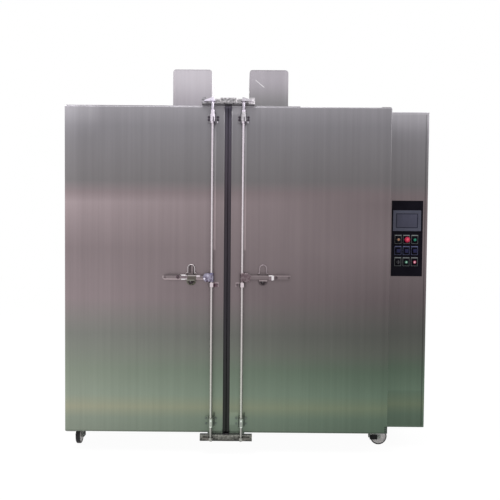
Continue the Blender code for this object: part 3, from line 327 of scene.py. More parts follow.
def front_reflection_colour(nodes):
    """The steel's display colour: painted reflections, highlights and shade on what faces the front, and a
    paler copy elsewhere.
    """
    x, y, z = nodes.place()
    span = {"Value": x, "From Min": BODY_LEFT, "From Max": BODY_RIGHT}
    across = nodes.add("ShaderNodeMapRange", span).outputs[0]
    light, loss = (nodes.by_height([(row[0], grey(row[i])) for row in FRONT_REFLECTION_BANDS]) for i in (1, 2))
    tint = nodes.by_height([(row[0], row[3]) for row in FRONT_REFLECTION_BANDS])
    deep = nodes.by_height([(row[0], [a * b for a, b in zip(row[3], DEEP_MINT)]) for row in FRONT_REFLECTION_BANDS])
    tint = nodes.mix(nodes.times(across, nodes.step(z, 0.75, 0.55)), tint, deep)
    # Painted highlights on the left edge, left top corner, cabinet top and doors' heads; painted shade at
    # their feet
    left_edge = nodes.times(nodes.step(across, 0.06, 0.0), nodes.step(z, 1.3, 2.3))
    left_corner_highlight = nodes.times(nodes.step(across, 0.12, 0.08), nodes.step(z, 2.2, 2.4))
    cabinet_top_highlight = nodes.times(nodes.step(x, BODY_RIGHT, BODY_RIGHT + 0.01), nodes.step(z, 2.2, BODY_TOP))
    head = nodes.step(z, BODY_TOP - 0.012, BODY_TOP - 0.007)
    foot = nodes.step(z, BODY_BOTTOM + 0.014, BODY_BOTTOM + 0.009)
    light = nodes.times(
        light,
        nodes.gain(nodes.times(loss, across), -1.0),
        nodes.gain(left_edge, 0.1),
        nodes.gain(left_corner_highlight, 0.1),
        nodes.gain(cabinet_top_highlight, 0.15),
        nodes.gain(nodes.times(head, nodes.step(x, *HEAD_HIGHLIGHT_STARTS)), 0.12),
        nodes.gain(foot, -0.12),
    )
    plain = nodes.scaled(nodes.mix(0.7, tint, grey(1.0)), nodes.math("MULTIPLY_ADD", light, 0.5, 0.28))
    outside = nodes.step(y, -0.65, -0.7)
    for width, height, change in front_shadows_and_reflections():
        mark = nodes.times(outside, nodes.within(x, *width, MARK_SOFTNESS[0]))
        mark = nodes.times(mark, nodes.within(z, *height, MARK_SOFTNESS[1]))
        light = nodes.times(light, nodes.gain(mark, change))
    return nodes.mix(nodes.facing_front(), plain, nodes.scaled(tint, light))


def brushed_steel(name, gain=1.0, colour=None):
    """Vertically brushed steel: fine grain, broad streaks, faint smudges, and the fronts' painted reflections
    or a given colour.
    """
    material, nodes = new_material(name)
    fine = nodes.noise((420.0, 420.0, 2.2), 3.0, 0.7)
    streaks = nodes.noise((30.0, 30.0, 0.4), 5.0, 0.65)
    cloud = nodes.noise((2.4, 2.4, 1.7), 5.0, 0.6)
    shade = nodes.plus(nodes.between(fine, -0.02, 0.02), nodes.between(streaks, 0.93, 1.07))
    shade = nodes.times(gain, nodes.plus(shade, nodes.between(cloud, -0.03, 0.03)))
    tone = front_reflection_colour(nodes) if colour is None else nodes.mix(cloud, colour, [c * 0.97 for c in colour])
    smudge = nodes.noise((5.0, 5.0, 4.0), 6.0, 0.7)
    rough = nodes.plus(nodes.between(smudge, 0.28, 0.42), nodes.between(fine, -0.05, 0.05))
    base = nodes.to_light(nodes.scaled(tone, shade))
    grain = nodes.bump(fine, GRAIN_DEPTH, 0.3)
    nodes.connect(Base_Color=base, Metallic=0.85, Roughness=rough, Normal=grain)
    return material


def finish(nodes, base, cloud, fine, roughness, grain, **sockets):
    """Joins a colour, a roughness that varies and a fine grain to the shader."""
    rough = nodes.plus(nodes.between(cloud, *roughness), nodes.between(fine, -0.04, 0.04))
    nodes.connect(Base_Color=base, Roughness=rough, Normal=nodes.bump(fine, *grain), **sockets)


def painted_metal(name, colour_of, roughness=(0.25, 0.4), metallic=0.9, mottle=0.12, scale=60.0):
    """Metal with mottling, tarnish and a fine grain over the colour that colour_of(nodes) hands back."""
    material, nodes = new_material(name)
    spots = nodes.noise(grey(scale), 5.0, 0.6)
    fine = nodes.noise(grey(scale * 9), 3.0, 0.5)
    shade = nodes.between(spots, 1 - mottle, 1 + mottle)
    base = nodes.to_light(nodes.scaled(colour_of(nodes), shade))
    finish(nodes, base, spots, fine, roughness, (GRAIN_DEPTH, 0.25), Metallic=metallic)
    return material


def plain_metal(name, colour, **settings):
    def colour_of(nodes):
        patches = nodes.noise(grey(22.0), 4.0, 0.6)
        return nodes.mix(nodes.step(patches, 0.35, 0.65), [c * 0.9 for c in colour], colour)

    return painted_metal(name, colour_of, **settings)


def coated(name, colour, roughness=(0.35, 0.5), speckle=0.12, specular=0.5):
    """Moulded plastic, rubber or paint with a fine texture and slight wear."""
    material, nodes = new_material(name)
    cloud = nodes.noise(grey(10.0), 5.0, 0.6)
    fine = nodes.noise(grey(720.0), 2.0, 0.5)
    dark = tuple(c * (1 - speckle) for c in linear(colour))
    light = tuple(min(1.0, c * (1 + speckle) + 0.002) for c in linear(colour))
    base = nodes.ramp(cloud, [(0.35, dark), (0.65, light)])
    finish(nodes, base, cloud, fine, roughness, (0.0003, 0.3), Specular_IOR_Level=specular)
    return material


def painted_plastic(name, colour_of, roughness, specular):
    """Plastic or rubber with a fine texture over the colour that colour_of(nodes) hands back."""
    material, nodes = new_material(name)
    cloud = nodes.noise(grey(30.0), 5.0, 0.6)
    fine = nodes.noise(grey(700.0), 2.0, 0.5)
    base = nodes.to_light(nodes.scaled(colour_of(nodes), nodes.between(cloud, 0.92, 1.08)))
    finish(nodes, base, cloud, fine, roughness, (GRAIN_DEPTH, 0.3), Specular_IOR_Level=specular)
    return material


# Mesh building


def shape_box(bm, low, high, radius, segments=2):
    low, high = Vector(map(min, low, high)), Vector(map(max, low, high))
    made = bmesh.ops.create_cube(bm, size=1.0)["verts"]
    bmesh.ops.scale(bm, vec=high - low, verts=made)
    bmesh.ops.translate(bm, vec=(low + high) / 2, verts=made)
    edges = list({edge for vert in made for edge in vert.link_edges})
    bmesh.ops.bevel(bm, geom=edges, offset=radius, segments=segments, affect="EDGES", profile=0.5)


def shape_turned(bm, place, direction, profile, sides=24, turn=0.0):
    """A solid turned about a direction through a place, from (radius, height) points out along it."""
    way = Vector(direction).to_track_quat("Z", "Y").to_matrix().to_4x4()
    matrix = Matrix.Translation(place) @ way @ Matrix.Rotation(turn, 4, "Z")
    angles = [2 * math.pi * step / sides for step in range(sides)]
    rings = []
    for radius, height in profile:
        spread = angles if radius else [0.0]
        points = [Vector((radius * math.cos(a), radius * math.sin(a), height)) for a in spread]
        rings.append([bm.verts.new(matrix @ point) for point in points])
    for ring, after in zip(rings, rings[1:]):
        for step in range(sides):
            face = [ring[step % len(ring)], ring[(step + 1) % len(ring)]]
            face += [after[(step + 1) % len(after)], after[step % len(after)]]
            kept = list(dict.fromkeys(face))
            if len(kept) > 2:
                bm.faces.new(kept)


def shape_bolt(bm, place, direction, size, turn):
    """A hexagon head on a washer, whose size is the width across the head's corners."""
    washer, half = size * 0.72, size / 2
    shape_turned(bm, place, direction, [(0, 0), (washer, 0), (washer, size * 0.1), (0, size * 0.1)], 20)
    profile = [(0, 0), (half, 0), (half, half * 0.8), (half * 0.86, half), (0, half)]
    shape_turned(bm, place, direction, profile, 6, turn)


def shape_frame(frames, heads, x, z):
    """A square frame on the panel's face: its sides and foot in one mesh and its deep head in another."""
    left, right = x - LEGEND_WIDTH / 2, x + LEGEND_WIDTH / 2
    low, high = z - LEGEND_HEIGHT / 2, z + LEGEND_HEIGHT / 2
    for bm, first, second in (
        (frames, (left, low), (right, low + LEGEND_BAR)),
        (frames, (left, low + LEGEND_BAR), (left + LEGEND_BAR, high)),
        (frames, (right - LEGEND_BAR, low + LEGEND_BAR), (right, high)),
        (heads, (left, high), (right, high + LEGEND_TOP_BAR)),
    ):
        near = (first[0], PANEL_FACE_Y - LEGEND_PROUD, first[1])
        shape_box(bm, near, (second[0], PANEL_FACE_Y, second[1]), LEGEND_PROUD / 4, 1)


def add_object(name, data):
    obj = bpy.data.objects.new(name, data)
    bpy.context.scene.collection.objects.link(obj)
    return obj


def add_mesh(name, bm, material):
    mesh = bpy.data.meshes.new(name)
    bm.to_mesh(mesh)
    bm.free()
    mesh.materials.append(material)
    return add_object(name, mesh)


def add_piece(name, bm, slot, material, body="oven_body"):
    """A smooth piece with sharp edges that rides on a body."""
    bmesh.ops.recalc_face_normals(bm, faces=bm.faces)
    obj = add_mesh(name, bm, material)
    obj.data.shade_smooth()
    obj.data.set_sharp_from_angle(angle=math.radians(35))
    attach(obj, body)


def add_boxes(name, boxes, *where):
    """A piece of boxes, each given by two corners and the radius of its edges."""
    bm = bmesh.new()
    for box in boxes:
        shape_box(bm, *box)
    add_piece(name, bm, *where)


def add_turned(name, place, direction, profile, *where):
    bm = bmesh.new()
    shape_turned(bm, place, direction, profile)
    add_piece(name, bm, *where)


def dress(node, material):
    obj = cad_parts[node]
    obj.data.materials.clear()
    obj.data.materials.append(material)


# Materials of the lock gear


HUB_HALF_HEIGHT = 0.0315
# Mottled colours of the hubs, painted reflections: pale lavender on the left, dark on the right
HUB_COLOURS = {
    "left": ((0.58, 0.56, 0.63), (0.41, 0.38, 0.45)),
    "right": ((0.47, 0.42, 0.435), (0.40, 0.34, 0.36)),
}
# Painted highlights and reflections on the left hub: offset from the rod's axis and the handle's height,
# radius, softness and colour
HUB_SPOTS = (
    ((-0.0245, 0.013), 0.009, 0.009, (0.74, 0.72, 0.79)),
    ((-0.0495, -0.009), 0.007, 0.003, (0.90, 0.88, 0.92)),
    ((-0.0300, -0.027), 0.008, 0.004, (0.31, 0.27, 0.33)),
    ((-0.0020, 0.025), 0.007, 0.004, (0.42, 0.41, 0.52)),
)
COLLAR_REACH = 0.012
# How light each rod's right flank stays under its painted shade
ROD_FLANK_SHADE = {"left": 0.62, "right": 0.66}
# Painted reflection colours of the chrome at the upper cams, each side its own, and at the lower cams
CAM_COLOURS = {"left": (0.90, 0.87, 0.93), "right": (0.76, 0.74, 0.77)}
LOW_CAM_COLOUR = (0.42, 0.41, 0.39)


def rod_finish(side):
    """Chrome with painted reflections and highlights, and painted shade on its right flank and below its upper
    bearing.
    """

    def colour_of(nodes):
        x, _, z = nodes.place()
        rod = ROD_X[side]
        core = nodes.by_height(ROD_BANDS)
        # Painted shade on the rod's right flank, below the sleeve
        flank = nodes.step(z, BEARING_TOP + 0.012, BEARING_TOP - 0.012)
        flank = nodes.times(flank, nodes.step(nodes.normal()[0], 0.1, 0.45))
        colour = nodes.scaled(core, nodes.gain(flank, ROD_FLANK_SHADE[side] - 1.0))
        patches = nodes.step(nodes.noise(grey(55.0), 3.0, 0.5), 0.42, 0.58)
        hub = nodes.mix(patches, *HUB_COLOURS[side])
        if side == "left":
            for (aside, above), radius, soft, spot in HUB_SPOTS:
                hub = nodes.mix(nodes.disc(rod + aside, HANDLE_Z + above, radius, soft), hub, spot)
        else:
            hub = nodes.mix(nodes.step(z, HANDLE_Z + 0.0265, HANDLE_Z + 0.028), hub, (0.60, 0.54, 0.56))
        at_hub = nodes.step(nodes.apart(z, HANDLE_Z), HUB_HALF_HEIGHT + 0.001, HUB_HALF_HEIGHT)
        colour = nodes.mix(at_hub, colour, hub)
        aside = nodes.apart(x, rod)
        # The collar's rim painted in the door's reflected tone, and painted shade below the bearing's foot
        rim = nodes.step(aside, COLLAR_REACH - 0.0015, COLLAR_REACH + 0.0005)
        rim = nodes.times(rim, nodes.within(z, BEARING_TOP, BEARING_TOP + 0.014))
        colour = nodes.mix(rim, colour, (0.52, 0.50, 0.53))
        shaded = nodes.within(z, BEARING_FOOT - 0.014, BEARING_FOOT)
        shaded = nodes.times(shaded, nodes.step(x, rod + 0.004, rod + 0.008))
        colour = nodes.mix(shaded, colour, (0.24, 0.20, 0.25))
        low_cam = nodes.step(z, BODY_BOTTOM - 0.012, BODY_BOTTOM - 0.016)
        low_cam = nodes.times(low_cam, nodes.step(aside, 0.010, 0.013))
        colour = nodes.mix(low_cam, colour, LOW_CAM_COLOUR)
        return nodes.mix(nodes.step(z, BODY_TOP + 0.012, BODY_TOP + 0.016), colour, CAM_COLOURS[side])

    return painted_metal(side + "_rod_chrome", colour_of, (0.2, 0.32), 0.9, 0.04, 30.0)


BLOCK_HALF_WIDTH = 0.019
LOWER_BLOCK_REACH = 0.0085
# Heights of the painted highlights on the lower blocks
LOWER_HIGHLIGHT_HEIGHTS = (0.2515, 0.206)
# Pale colours of the rods' blocks: painted reflections, each side and end its own
BLOCK_COLOURS = {
    ("left", "upper"): (0.93, 0.89, 0.94),
    ("right", "upper"): (0.80, 0.78, 0.80),
    ("left", "lower"): (0.70, 0.72, 0.68),
    ("right", "lower"): (0.64, 0.66, 0.63),
}


def bearing_finish(side, end):
    """Flanges in the door's painted tone beside the block's painted reflection; the upper block has a darker
    core and a painted highlight on its flange.
    """

    def colour_of(nodes):
        x, _, z = nodes.place()
        rod = ROD_X[side]
        patches = nodes.step(nodes.noise(grey(110.0), 3.0, 0.5), 0.4, 0.6)
        pale = BLOCK_COLOURS[side, end]
        block = nodes.mix(patches, [c * 0.88 for c in pale], pale)
        flange = nodes.scaled(front_reflection_colour(nodes), 0.98)
        if end == "upper":
            core = nodes.within(z, BEARING_FOOT, 2.350, 0.004)
            core = nodes.times(core, nodes.within(x, rod + 0.001, rod + 0.010))
            block = nodes.mix(core, block, (0.45, 0.43, 0.46))
            reach = nodes.between(nodes.step(z, 2.372, 2.366), COLLAR_REACH, BLOCK_HALF_WIDTH)
            # A painted highlight streak down the upper flange
            streak = nodes.times(nodes.within(x, rod + 0.029, rod + 0.034), nodes.step(z, 2.342, 2.334))
            flange = nodes.mix(streak, flange, (0.88, 0.85, 0.89))
        else:
            reach = LOWER_BLOCK_REACH
            for height in LOWER_HIGHLIGHT_HEIGHTS:
                block = nodes.mix(nodes.disc(rod, height, 0.006, 0.005), block, (0.90, 0.94, 0.90))
        past = nodes.math("SUBTRACT", nodes.apart(x, rod), reach)
        return nodes.mix(nodes.step(past, 0.0005, -0.0005), flange, block)

    return painted_metal(f"{side}_{end}_bearing_finish", colour_of, (0.25, 0.4), 0.9, 0.06, 90.0)


def guide_finish(side):
    """The guide below the hub: a pale core at the rod and a lug with pale edges towards the centre, both
    painted highlights.
    """

    def colour_of(nodes):
        x, _, z = nodes.place()
        low, high = corners(side + "_rod_guide")
        lit = nodes.step(z, high.z - 0.007, high.z - 0.005)
        front = front_reflection_colour(nodes)
        if side == "left":
            edge = nodes.step(x, high.x - 0.006, high.x - 0.004)
            tones = (0.42, 0.32, 0.36), (0.68, 0.62, 0.64)
        else:
            edge = nodes.step(x, low.x + 0.006, low.x + 0.004)
            tones = nodes.scaled(front, 0.98), (0.66, 0.61, 0.62)
        lug = nodes.mix(nodes.either(lit, edge), *tones)
        rod, way = ROD_X[side], -SIDES[side]
        inwards = nodes.step(x, rod + way * 0.010, rod + way * 0.012)
        plate = nodes.mix(inwards, nodes.scaled(front, 0.96), lug)
        core = nodes.step(nodes.apart(x, rod), 0.0125, 0.0105)
        return nodes.mix(core, plate, (0.82, 0.77, 0.79))

    return painted_metal(side + "_guide_finish", colour_of, (0.25, 0.4), 0.9, 0.06, 90.0)


# The handles: the hole's reach from the rod and its colour, painted dark as its shade; the sleeve's reach from
# the rod
HOLE_FROM_ROD = 0.233
HOLE_COLOURS = {"left": (0.33, 0.24, 0.30), "right": (0.36, 0.31, 0.34)}
SLEEVE_FROM_ROD = {"left": (0.173, 0.210), "right": (0.185, 0.218)}


def handle_finish(side):
    """A mottled bar in the door's painted tone, its edges painted lit and shaded, a hole painted dark as shade
    and a bright painted sleeve.
    """
    way = SIDES[side]

    def colour_of(nodes):
        x, _, z = nodes.place()
        rod = ROD_X[side]
        bar = front_reflection_colour(nodes)
        top = nodes.step(z, HANDLE_Z + 0.009, HANDLE_Z + 0.012)
        foot = nodes.step(z, HANDLE_Z - 0.008, HANDLE_Z - 0.011)
        if side == "left":
            bar = nodes.scaled(bar, nodes.times(nodes.gain(top, -0.25), nodes.gain(foot, 0.35)))
            # The left bar: by the catch a painted dark band with a pale line along its top, then a lit end and
            # a pale tip
            upper_half = nodes.step(z, HANDLE_Z + 0.0065, HANDLE_Z + 0.0085)
            dim = nodes.mix(upper_half, (0.37, 0.35, 0.33), (0.64, 0.61, 0.61))
            bar = nodes.mix(nodes.within(x, rod - 0.167, rod - 0.108), bar, dim)
            lit_end = nodes.within(x, rod - 0.105, rod - 0.081)
            lit_end = nodes.times(lit_end, nodes.step(z, HANDLE_Z, HANDLE_Z + 0.003))
            bar = nodes.mix(lit_end, bar, (0.80, 0.76, 0.78))
            tip = corners("left_handle")[0].x
            bar = nodes.mix(nodes.step(x, tip + 0.008, tip + 0.005), bar, (0.68, 0.63, 0.64))
        else:
            bar = nodes.scaled(bar, nodes.times(nodes.gain(top, 0.22), nodes.gain(foot, -0.10)))
        hole = nodes.disc(rod + way * HOLE_FROM_ROD, HANDLE_Z, 0.012, 0.002)
        bar = nodes.mix(hole, bar, HOLE_COLOURS[side])
        ends = sorted(rod + way * reach for reach in SLEEVE_FROM_ROD[side])
        sleeve = nodes.within(x, ends[0] - 0.0005, ends[1] + 0.0005)
        lit = nodes.either(top, foot if side == "left" else nodes.step(x, ends[0] + 0.016, ends[0] + 0.019))
        return nodes.mix(sleeve, bar, nodes.mix(lit, (0.50, 0.45, 0.47), (0.88, 0.86, 0.87)))

    return painted_metal(side + "_handle_finish", colour_of, (0.25, 0.4), 0.85, 0.07, 80.0)


def catch_finish(side):
    """The catch: a plate in the door's painted tone, darker below the handle, with a dark knob bearing a
    painted highlight, and a pale shelf.
    """
    x = middle(side + "_handle_catch").x
    shelf_top = HANDLE_Z - 0.0155

    def colour_of(nodes):
        _, y, z = nodes.place()
        patches = nodes.step(nodes.noise(grey(90.0), 4.0, 0.6), 0.38, 0.62)
        below = nodes.step(z, HANDLE_Z + 0.018, HANDLE_Z + 0.010)
        plate = nodes.scaled(front_reflection_colour(nodes), 0.93)
        if side == "left":
            plate = nodes.mix(below, plate, nodes.mix(patches, (0.31, 0.31, 0.27), (0.46, 0.46, 0.41)))
        else:
            plate = nodes.scaled(plate, nodes.gain(below, -0.12))
        knob = nodes.disc(x, HANDLE_Z - 0.034, 0.0165, 0.001)
        plate = nodes.mix(knob, plate, nodes.mix(patches, (0.17, 0.15, 0.16), (0.28, 0.25, 0.26)))
        # A painted highlight on the knob
        spot = nodes.disc(x - 0.003, HANDLE_Z - 0.029, 0.005, 0.002)
        plate = nodes.mix(nodes.times(spot, knob), plate, (0.44, 0.43, 0.43))
        proud = nodes.step(y, -0.9, -0.905)
        shelf = nodes.times(nodes.within(z, shelf_top - 0.0085, shelf_top + 0.0005), proud)
        return nodes.mix(shelf, plate, (0.50, 0.49, 0.46) if side == "left" else (0.60, 0.55, 0.56))

    return painted_metal(side + "_catch_finish", colour_of, (0.3, 0.45), 0.85, 0.1, 90.0)


# The keepers, from the doors outwards: distance from the doors' edge, and lightness. The upper keeper is
# painted dark by the doors as the gap's shade and light at its top rim as a highlight; the lower one is darker
# further down
KEEPER_BANDS = {
    "upper": (
        (0.006, 0.35),
        (0.010, 0.45),
        (0.0163, 0.58),
        (0.023, 0.67),
        (0.031, 0.57),
        (0.040, 0.57),
        (0.047, 0.78),
    ),
    "lower": ((0.010, 0.50), (0.020, 0.44), (0.036, 0.38), (0.048, 0.26)),
}
KEEPER_REACH = 0.06
WELD_OFFSETS = (-0.056, 0.057)
HOLE_OFFSETS = (-0.026, 0.035)


def keeper_finish(end, tint, mottle):
    """Mottled steel in bands of painted light and shade; the upper keeper has two pale welds, two holes
    painted dark as shade, a painted highlight at its right end and a darker left end.
    """

    def colour_of(nodes):
        x, _, z = nodes.place()
        away = nodes.apart(z, BODY_TOP if end == "upper" else BODY_BOTTOM)
        stops = [(rise / KEEPER_REACH, [c * light for c in tint]) for rise, light in KEEPER_BANDS[end]]
        colour = nodes.ramp(nodes.math("DIVIDE", away, KEEPER_REACH), stops)
        if end == "upper":
            high = nodes.step(away, 0.018, 0.024)
            for offset in WELD_OFFSETS:
                weld = nodes.within(x, CENTRE_X + offset - 0.003, CENTRE_X + offset + 0.003)
                colour = nodes.mix(nodes.times(weld, high), colour, (0.86, 0.84, 0.85))
            for offset in HOLE_OFFSETS:
                hole = nodes.disc(CENTRE_X + offset, BODY_TOP + 0.0095, 0.005, 0.003)
                colour = nodes.mix(hole, colour, (0.24, 0.22, 0.24))
            colour = nodes.mix(nodes.step(x, CENTRE_X + 0.136, CENTRE_X + 0.146), colour, (0.80, 0.78, 0.80))
            left_end = nodes.step(x, CENTRE_X - 0.148, CENTRE_X - 0.156)
            left_end = nodes.times(left_end, nodes.step(away, 0.012, 0.018))
            colour = nodes.mix(left_end, colour, (0.55, 0.54, 0.56))
        patches = nodes.noise((70.0, 70.0, 90.0), 3.0, 0.55)
        spread = nodes.between(nodes.step(patches, 0.3, 0.7), -mottle / 2, mottle / 2)
        front = nodes.facing_front()
        colour = nodes.mix(front, (0.56, 0.55, 0.56), colour)
        return nodes.scaled(colour, nodes.math("MULTIPLY_ADD", spread, nodes.between(front, 0.2, 1.0), 1.0))

    return painted_metal(end + "_keeper_finish", colour_of, (0.25, 0.42), 0.9, 0.1, 120.0)


# Materials of the covers, the panel and the wheels


SCRATCH_START = Vector((0.049, 0.0, 2.818))
SCRATCH_END = Vector((0.117, 0.0, 2.762))
SCRATCH_HALF_WIDTH = 0.0029


def distance_to_scratch(nodes):
    """How far a point lies from the scratch's middle line, as seen from the front."""
    along = SCRATCH_END - SCRATCH_START
    offset = nodes.vector("SUBTRACT", nodes.vector("MULTIPLY", nodes.coordinates(), FLAT), SCRATCH_START)
    share = nodes.vector("DOT_PRODUCT", offset, along / along.length_squared)
    share = nodes.math("MINIMUM", nodes.either(share, 0.0), 1.0)
    return nodes.vector("DISTANCE", offset, nodes.vector("SCALE", along, share))


def cover_finish(side, low_colour, high_colour):
    """Satin sheet with faint streaks, painted light towards its top and painted shade at its edges;
    the right one has a painted highlight along its fold and a bright scratch.
    """
    material, nodes = new_material(side + "_cover_paint")
    x, _, z = nodes.place()
    low, high = corners(side + "_motor_cover")
    streaks = nodes.noise((34.0, 34.0, 1.2), 4.0, 0.6)
    fine = nodes.noise((300.0, 300.0, 6.0), 3.0, 0.6)
    colour = nodes.mix(nodes.step(z, low.z + 0.1, high.z - 0.06), low_colour, high_colour)
    left_edge = nodes.step(x, low.x + 0.012, low.x + 0.004)
    edges = nodes.either(left_edge, nodes.step(x, high.x - 0.012, high.x - 0.004))
    edges = nodes.either(edges, nodes.step(z, high.z - 0.012, high.z - 0.004))
    shade = nodes.plus(nodes.between(streaks, 0.96, 1.04), nodes.between(fine, -0.015, 0.015))
    shade = nodes.times(shade, nodes.gain(edges, -0.08))
    rough = nodes.between(streaks, 0.38, 0.52)
    if side == "right":
        # A painted highlight along the right cover's fold
        fold = nodes.within(x, high.x - 0.048, high.x - 0.02, 0.012)
        shade = nodes.times(shade, nodes.gain(fold, 0.05))
        mark = nodes.step(distance_to_scratch(nodes), SCRATCH_HALF_WIDTH, SCRATCH_HALF_WIDTH / 3)
        mark = nodes.times(mark, nodes.facing_front())
        colour = nodes.mix(mark, colour, (0.93, 0.92, 0.93))
        rough = nodes.math("SUBTRACT", rough, nodes.times(mark, 0.2))
    base = nodes.to_light(nodes.scaled(colour, shade))
    grain = nodes.bump(fine, GRAIN_DEPTH, 0.25)
    nodes.connect(Base_Color=base, Metallic=0.7, Roughness=rough, Normal=grain)
    return material


# The buttons: colour of the middle, lighter as a painted highlight, colour of the rim and the middle's radius
CAPS = {
    "emergency_stop": ((0.88, 0.34, 0.40), (0.72, 0.12, 0.27), 0.0085),
    "start_button": ((0.22, 0.62, 0.50), (0.0, 0.40, 0.32), 0.004),
    "green_button": ((0.62, 0.78, 0.70), (0.16, 0.36, 0.28), 0.0065),
    "red_button": ((0.90, 0.70, 0.75), (0.62, 0.20, 0.30), 0.0065),
}


def cap_finish(node, core, rim, core_radius):
    """A button's cap whose middle is painted lighter than its rim as a highlight, as seen from the front."""
    centre = middle(node)

    def colour_of(nodes):
        return nodes.mix(nodes.disc(centre.x, centre.z, core_radius, 0.0022), rim, core)

    return painted_plastic(node + "_finish", colour_of, (0.22, 0.36), 0.3)


def wheel_finish(name):
    """A black tread on a grey core, told apart by the distance from the axle."""
    material, nodes = new_material(name + "_wheel_finish")
    low, high = corners(name + "_wheel")
    offset = nodes.vector("SUBTRACT", nodes.coordinates(), middle(name + "_wheel"))
    across = (0, 1, 1) if high.x - low.x < high.y - low.y else FLAT
    reach = nodes.vector("LENGTH", nodes.vector("MULTIPLY", offset, across))
    edge = (high.z - low.z) / 2 - TREAD_THICKNESS
    tread = nodes.step(reach, edge - 0.0008, edge + 0.0008)
    cloud = nodes.noise(grey(30.0), 5.0, 0.6)
    light = COLOURS["wheel_core"]
    core = nodes.mix(cloud, linear([c * 0.86 for c in light]), linear(light))
    base = nodes.mix(tread, core, linear(COLOURS["tyre"]))
    rough = nodes.plus(nodes.between(tread, 0.4, 0.7), nodes.between(cloud, -0.08, 0.08))
    nodes.connect(Base_Color=base, Roughness=rough, Normal=nodes.bump(cloud, 0.0006, 0.4))
    return material


BODY_PANELS = ("floor_panel", "left_wall", "right_wall", "back_wall", "roof_panel", "control_cabinet")
# The covers' low and high colours: the rise towards the top and the left cover's lighter tone are painted
# light
COVER_COLOURS = {
    "left": ((0.565, 0.545, 0.57), (0.665, 0.645, 0.67)),
    "right": ((0.445, 0.44, 0.445), (0.605, 0.585, 0.61)),
}
# The chrome bails' colours, the left one painted lighter than the right as painted light and shade
BAIL_COLOURS = {"left": (0.80, 0.77, 0.78), "right": (0.66, 0.61, 0.63)}


def dress_nodes(plated):
    steel = brushed_steel("brushed_stainless")
    for node in (*BODY_PANELS, "left_door", "right_door"):
        dress(node, steel)
    liner = brushed_steel("liner_stainless", colour=COLOURS["liner"])
    for node in ("left_air_duct", "right_air_duct", "ceiling_air_duct"):
        dress(node, liner)
    dress("upper_keeper_beam", keeper_finish("upper", (1.0, 0.98, 1.0), 0.42))
    dress("lower_keeper_beam", keeper_finish("lower", (1.0, 1.0, 0.95), 0.35))
    seal = painted_plastic("black_silicone", lambda nodes: nodes.by_height(SEAL_BANDS), (0.5, 0.65), 0.25)
    for node in ("door_gasket", "left_door_seal", "right_door_seal"):
        dress(node, seal)
    for side in SIDES:
        for end in ("upper", "lower"):
            dress(f"{side}_{end}_hinge", plated)
            dress(f"{side}_{end}_rod_bearing", bearing_finish(side, end))
        dress(f"{side}_rod_guide", guide_finish(side))
        dress(f"{side}_handle_catch", catch_finish(side))
        dress(f"{side}_handle", handle_finish(side))
        dress(f"{side}_lock_rod", rod_finish(side))
        dress(f"{side}_catch_bail", plain_metal(f"{side}_bail_chrome", BAIL_COLOURS[side], scale=90.0))
        dress(f"{side}_motor_cover", cover_finish(side, *COVER_COLOURS[side]))
    dress("control_panel", coated("panel_black", COLOURS["panel"], (0.4, 0.5), 0.15, 0.05))
    dress("touch_screen", coated("screen_bezel", COLOURS["bezel"], (0.4, 0.5), 0.08, 0.2))
    for node, look in CAPS.items():
        dress(node, cap_finish(node, *look))
    dress("selector_switch", coated("knob_black", (0.22, 0.22, 0.24), (0.35, 0.45), 0.15, 0.3))
    fork = plain_metal("caster_steel", COLOURS["fork"], roughness=(0.3, 0.45), mottle=0.16)
    for name in CASTERS:
        dress(name + "_fork", fork)
        dress(name + "_wheel", wheel_finish(name))


# Pieces that the CAD leaves out


FLANGE = 0.0047
KEEPER_TOP = 0.014
KEEPER_REAR_LIP = 0.032
UPPER_BOLT_OFFSETS = (-0.029, 0.034)
UPPER_BOLT_DROPS = (0.025, 0.044)


def make_fasteners(looks):
    """Bolts on the bearings, guides, catches, hinge plates and keepers."""
    for side, way in SIDES.items():
        door = f"{side}_door"
        for end, look in (("upper", "dark"), ("lower", "mint")):
            low, high = corners(f"{side}_{end}_rod_bearing")
            if end == "upper":
                places = [(a, b) for a in UPPER_BOLT_OFFSETS for b in UPPER_BOLT_DROPS]
                spots = [(ROD_X[side] + a, high.z - b, a * 40 + b) for a, b in places]
            else:
                across, up = (low.x + 0.008, high.x - 0.008), (low.z + 0.013, high.z - 0.013)
                spots = [(x, z, x + z) for x in across for z in up]
            bm = bmesh.new()
            for x, z, turn in spots:
                shape_bolt(bm, (x, high.y - FLANGE, z), OUT, 0.012, turn)
            add_piece(f"{side}_{end}_bearing_bolts", bm, "plated_steel", looks[look], door)
        bm = bmesh.new()
        low, high = corners(f"{side}_rod_guide")
        inner = high.x if way < 0 else low.x
        shape_bolt(bm, (inner + way * 0.01, high.y - FLANGE, (low.z + high.z) / 2), OUT, 0.012, 0.3)
        low, high = corners(f"{side}_handle_catch")
        x = (low.x + high.x) / 2
        for offset in (-0.024, 0.024):
            shape_bolt(bm, (x + offset, high.y - FLANGE, low.z + 0.034), OUT, 0.01, x * 40)
        add_piece(f"{side}_handle_bolts", bm, "plated_steel", looks["rose"], door)
    bm = bmesh.new()
    for end, way in (("upper", 1), ("lower", -1)):
        up = (0, 0, way)
        for side in SIDES:
            low, high = corners(f"{side}_{end}_hinge")
            face = (high.z if way > 0 else low.z) - way * 0.0001
            for y in (high.y - 0.014, high.y - 0.036):
                shape_bolt(bm, ((low.x + high.x) / 2, y, face), up, 0.014, y * 9)
        back = corners(f"{end}_keeper_beam")[1].y
        face = BODY_TOP + KEEPER_TOP if way > 0 else BODY_BOTTOM - KEEPER_TOP
        for offset in (-0.07, 0.0, 0.07):
            shape_bolt(bm, (CENTRE_X + offset, back - 0.025, face), up, 0.016, offset * 7)
    add_piece("body_bolts", bm, "plated_steel", looks["plated"])


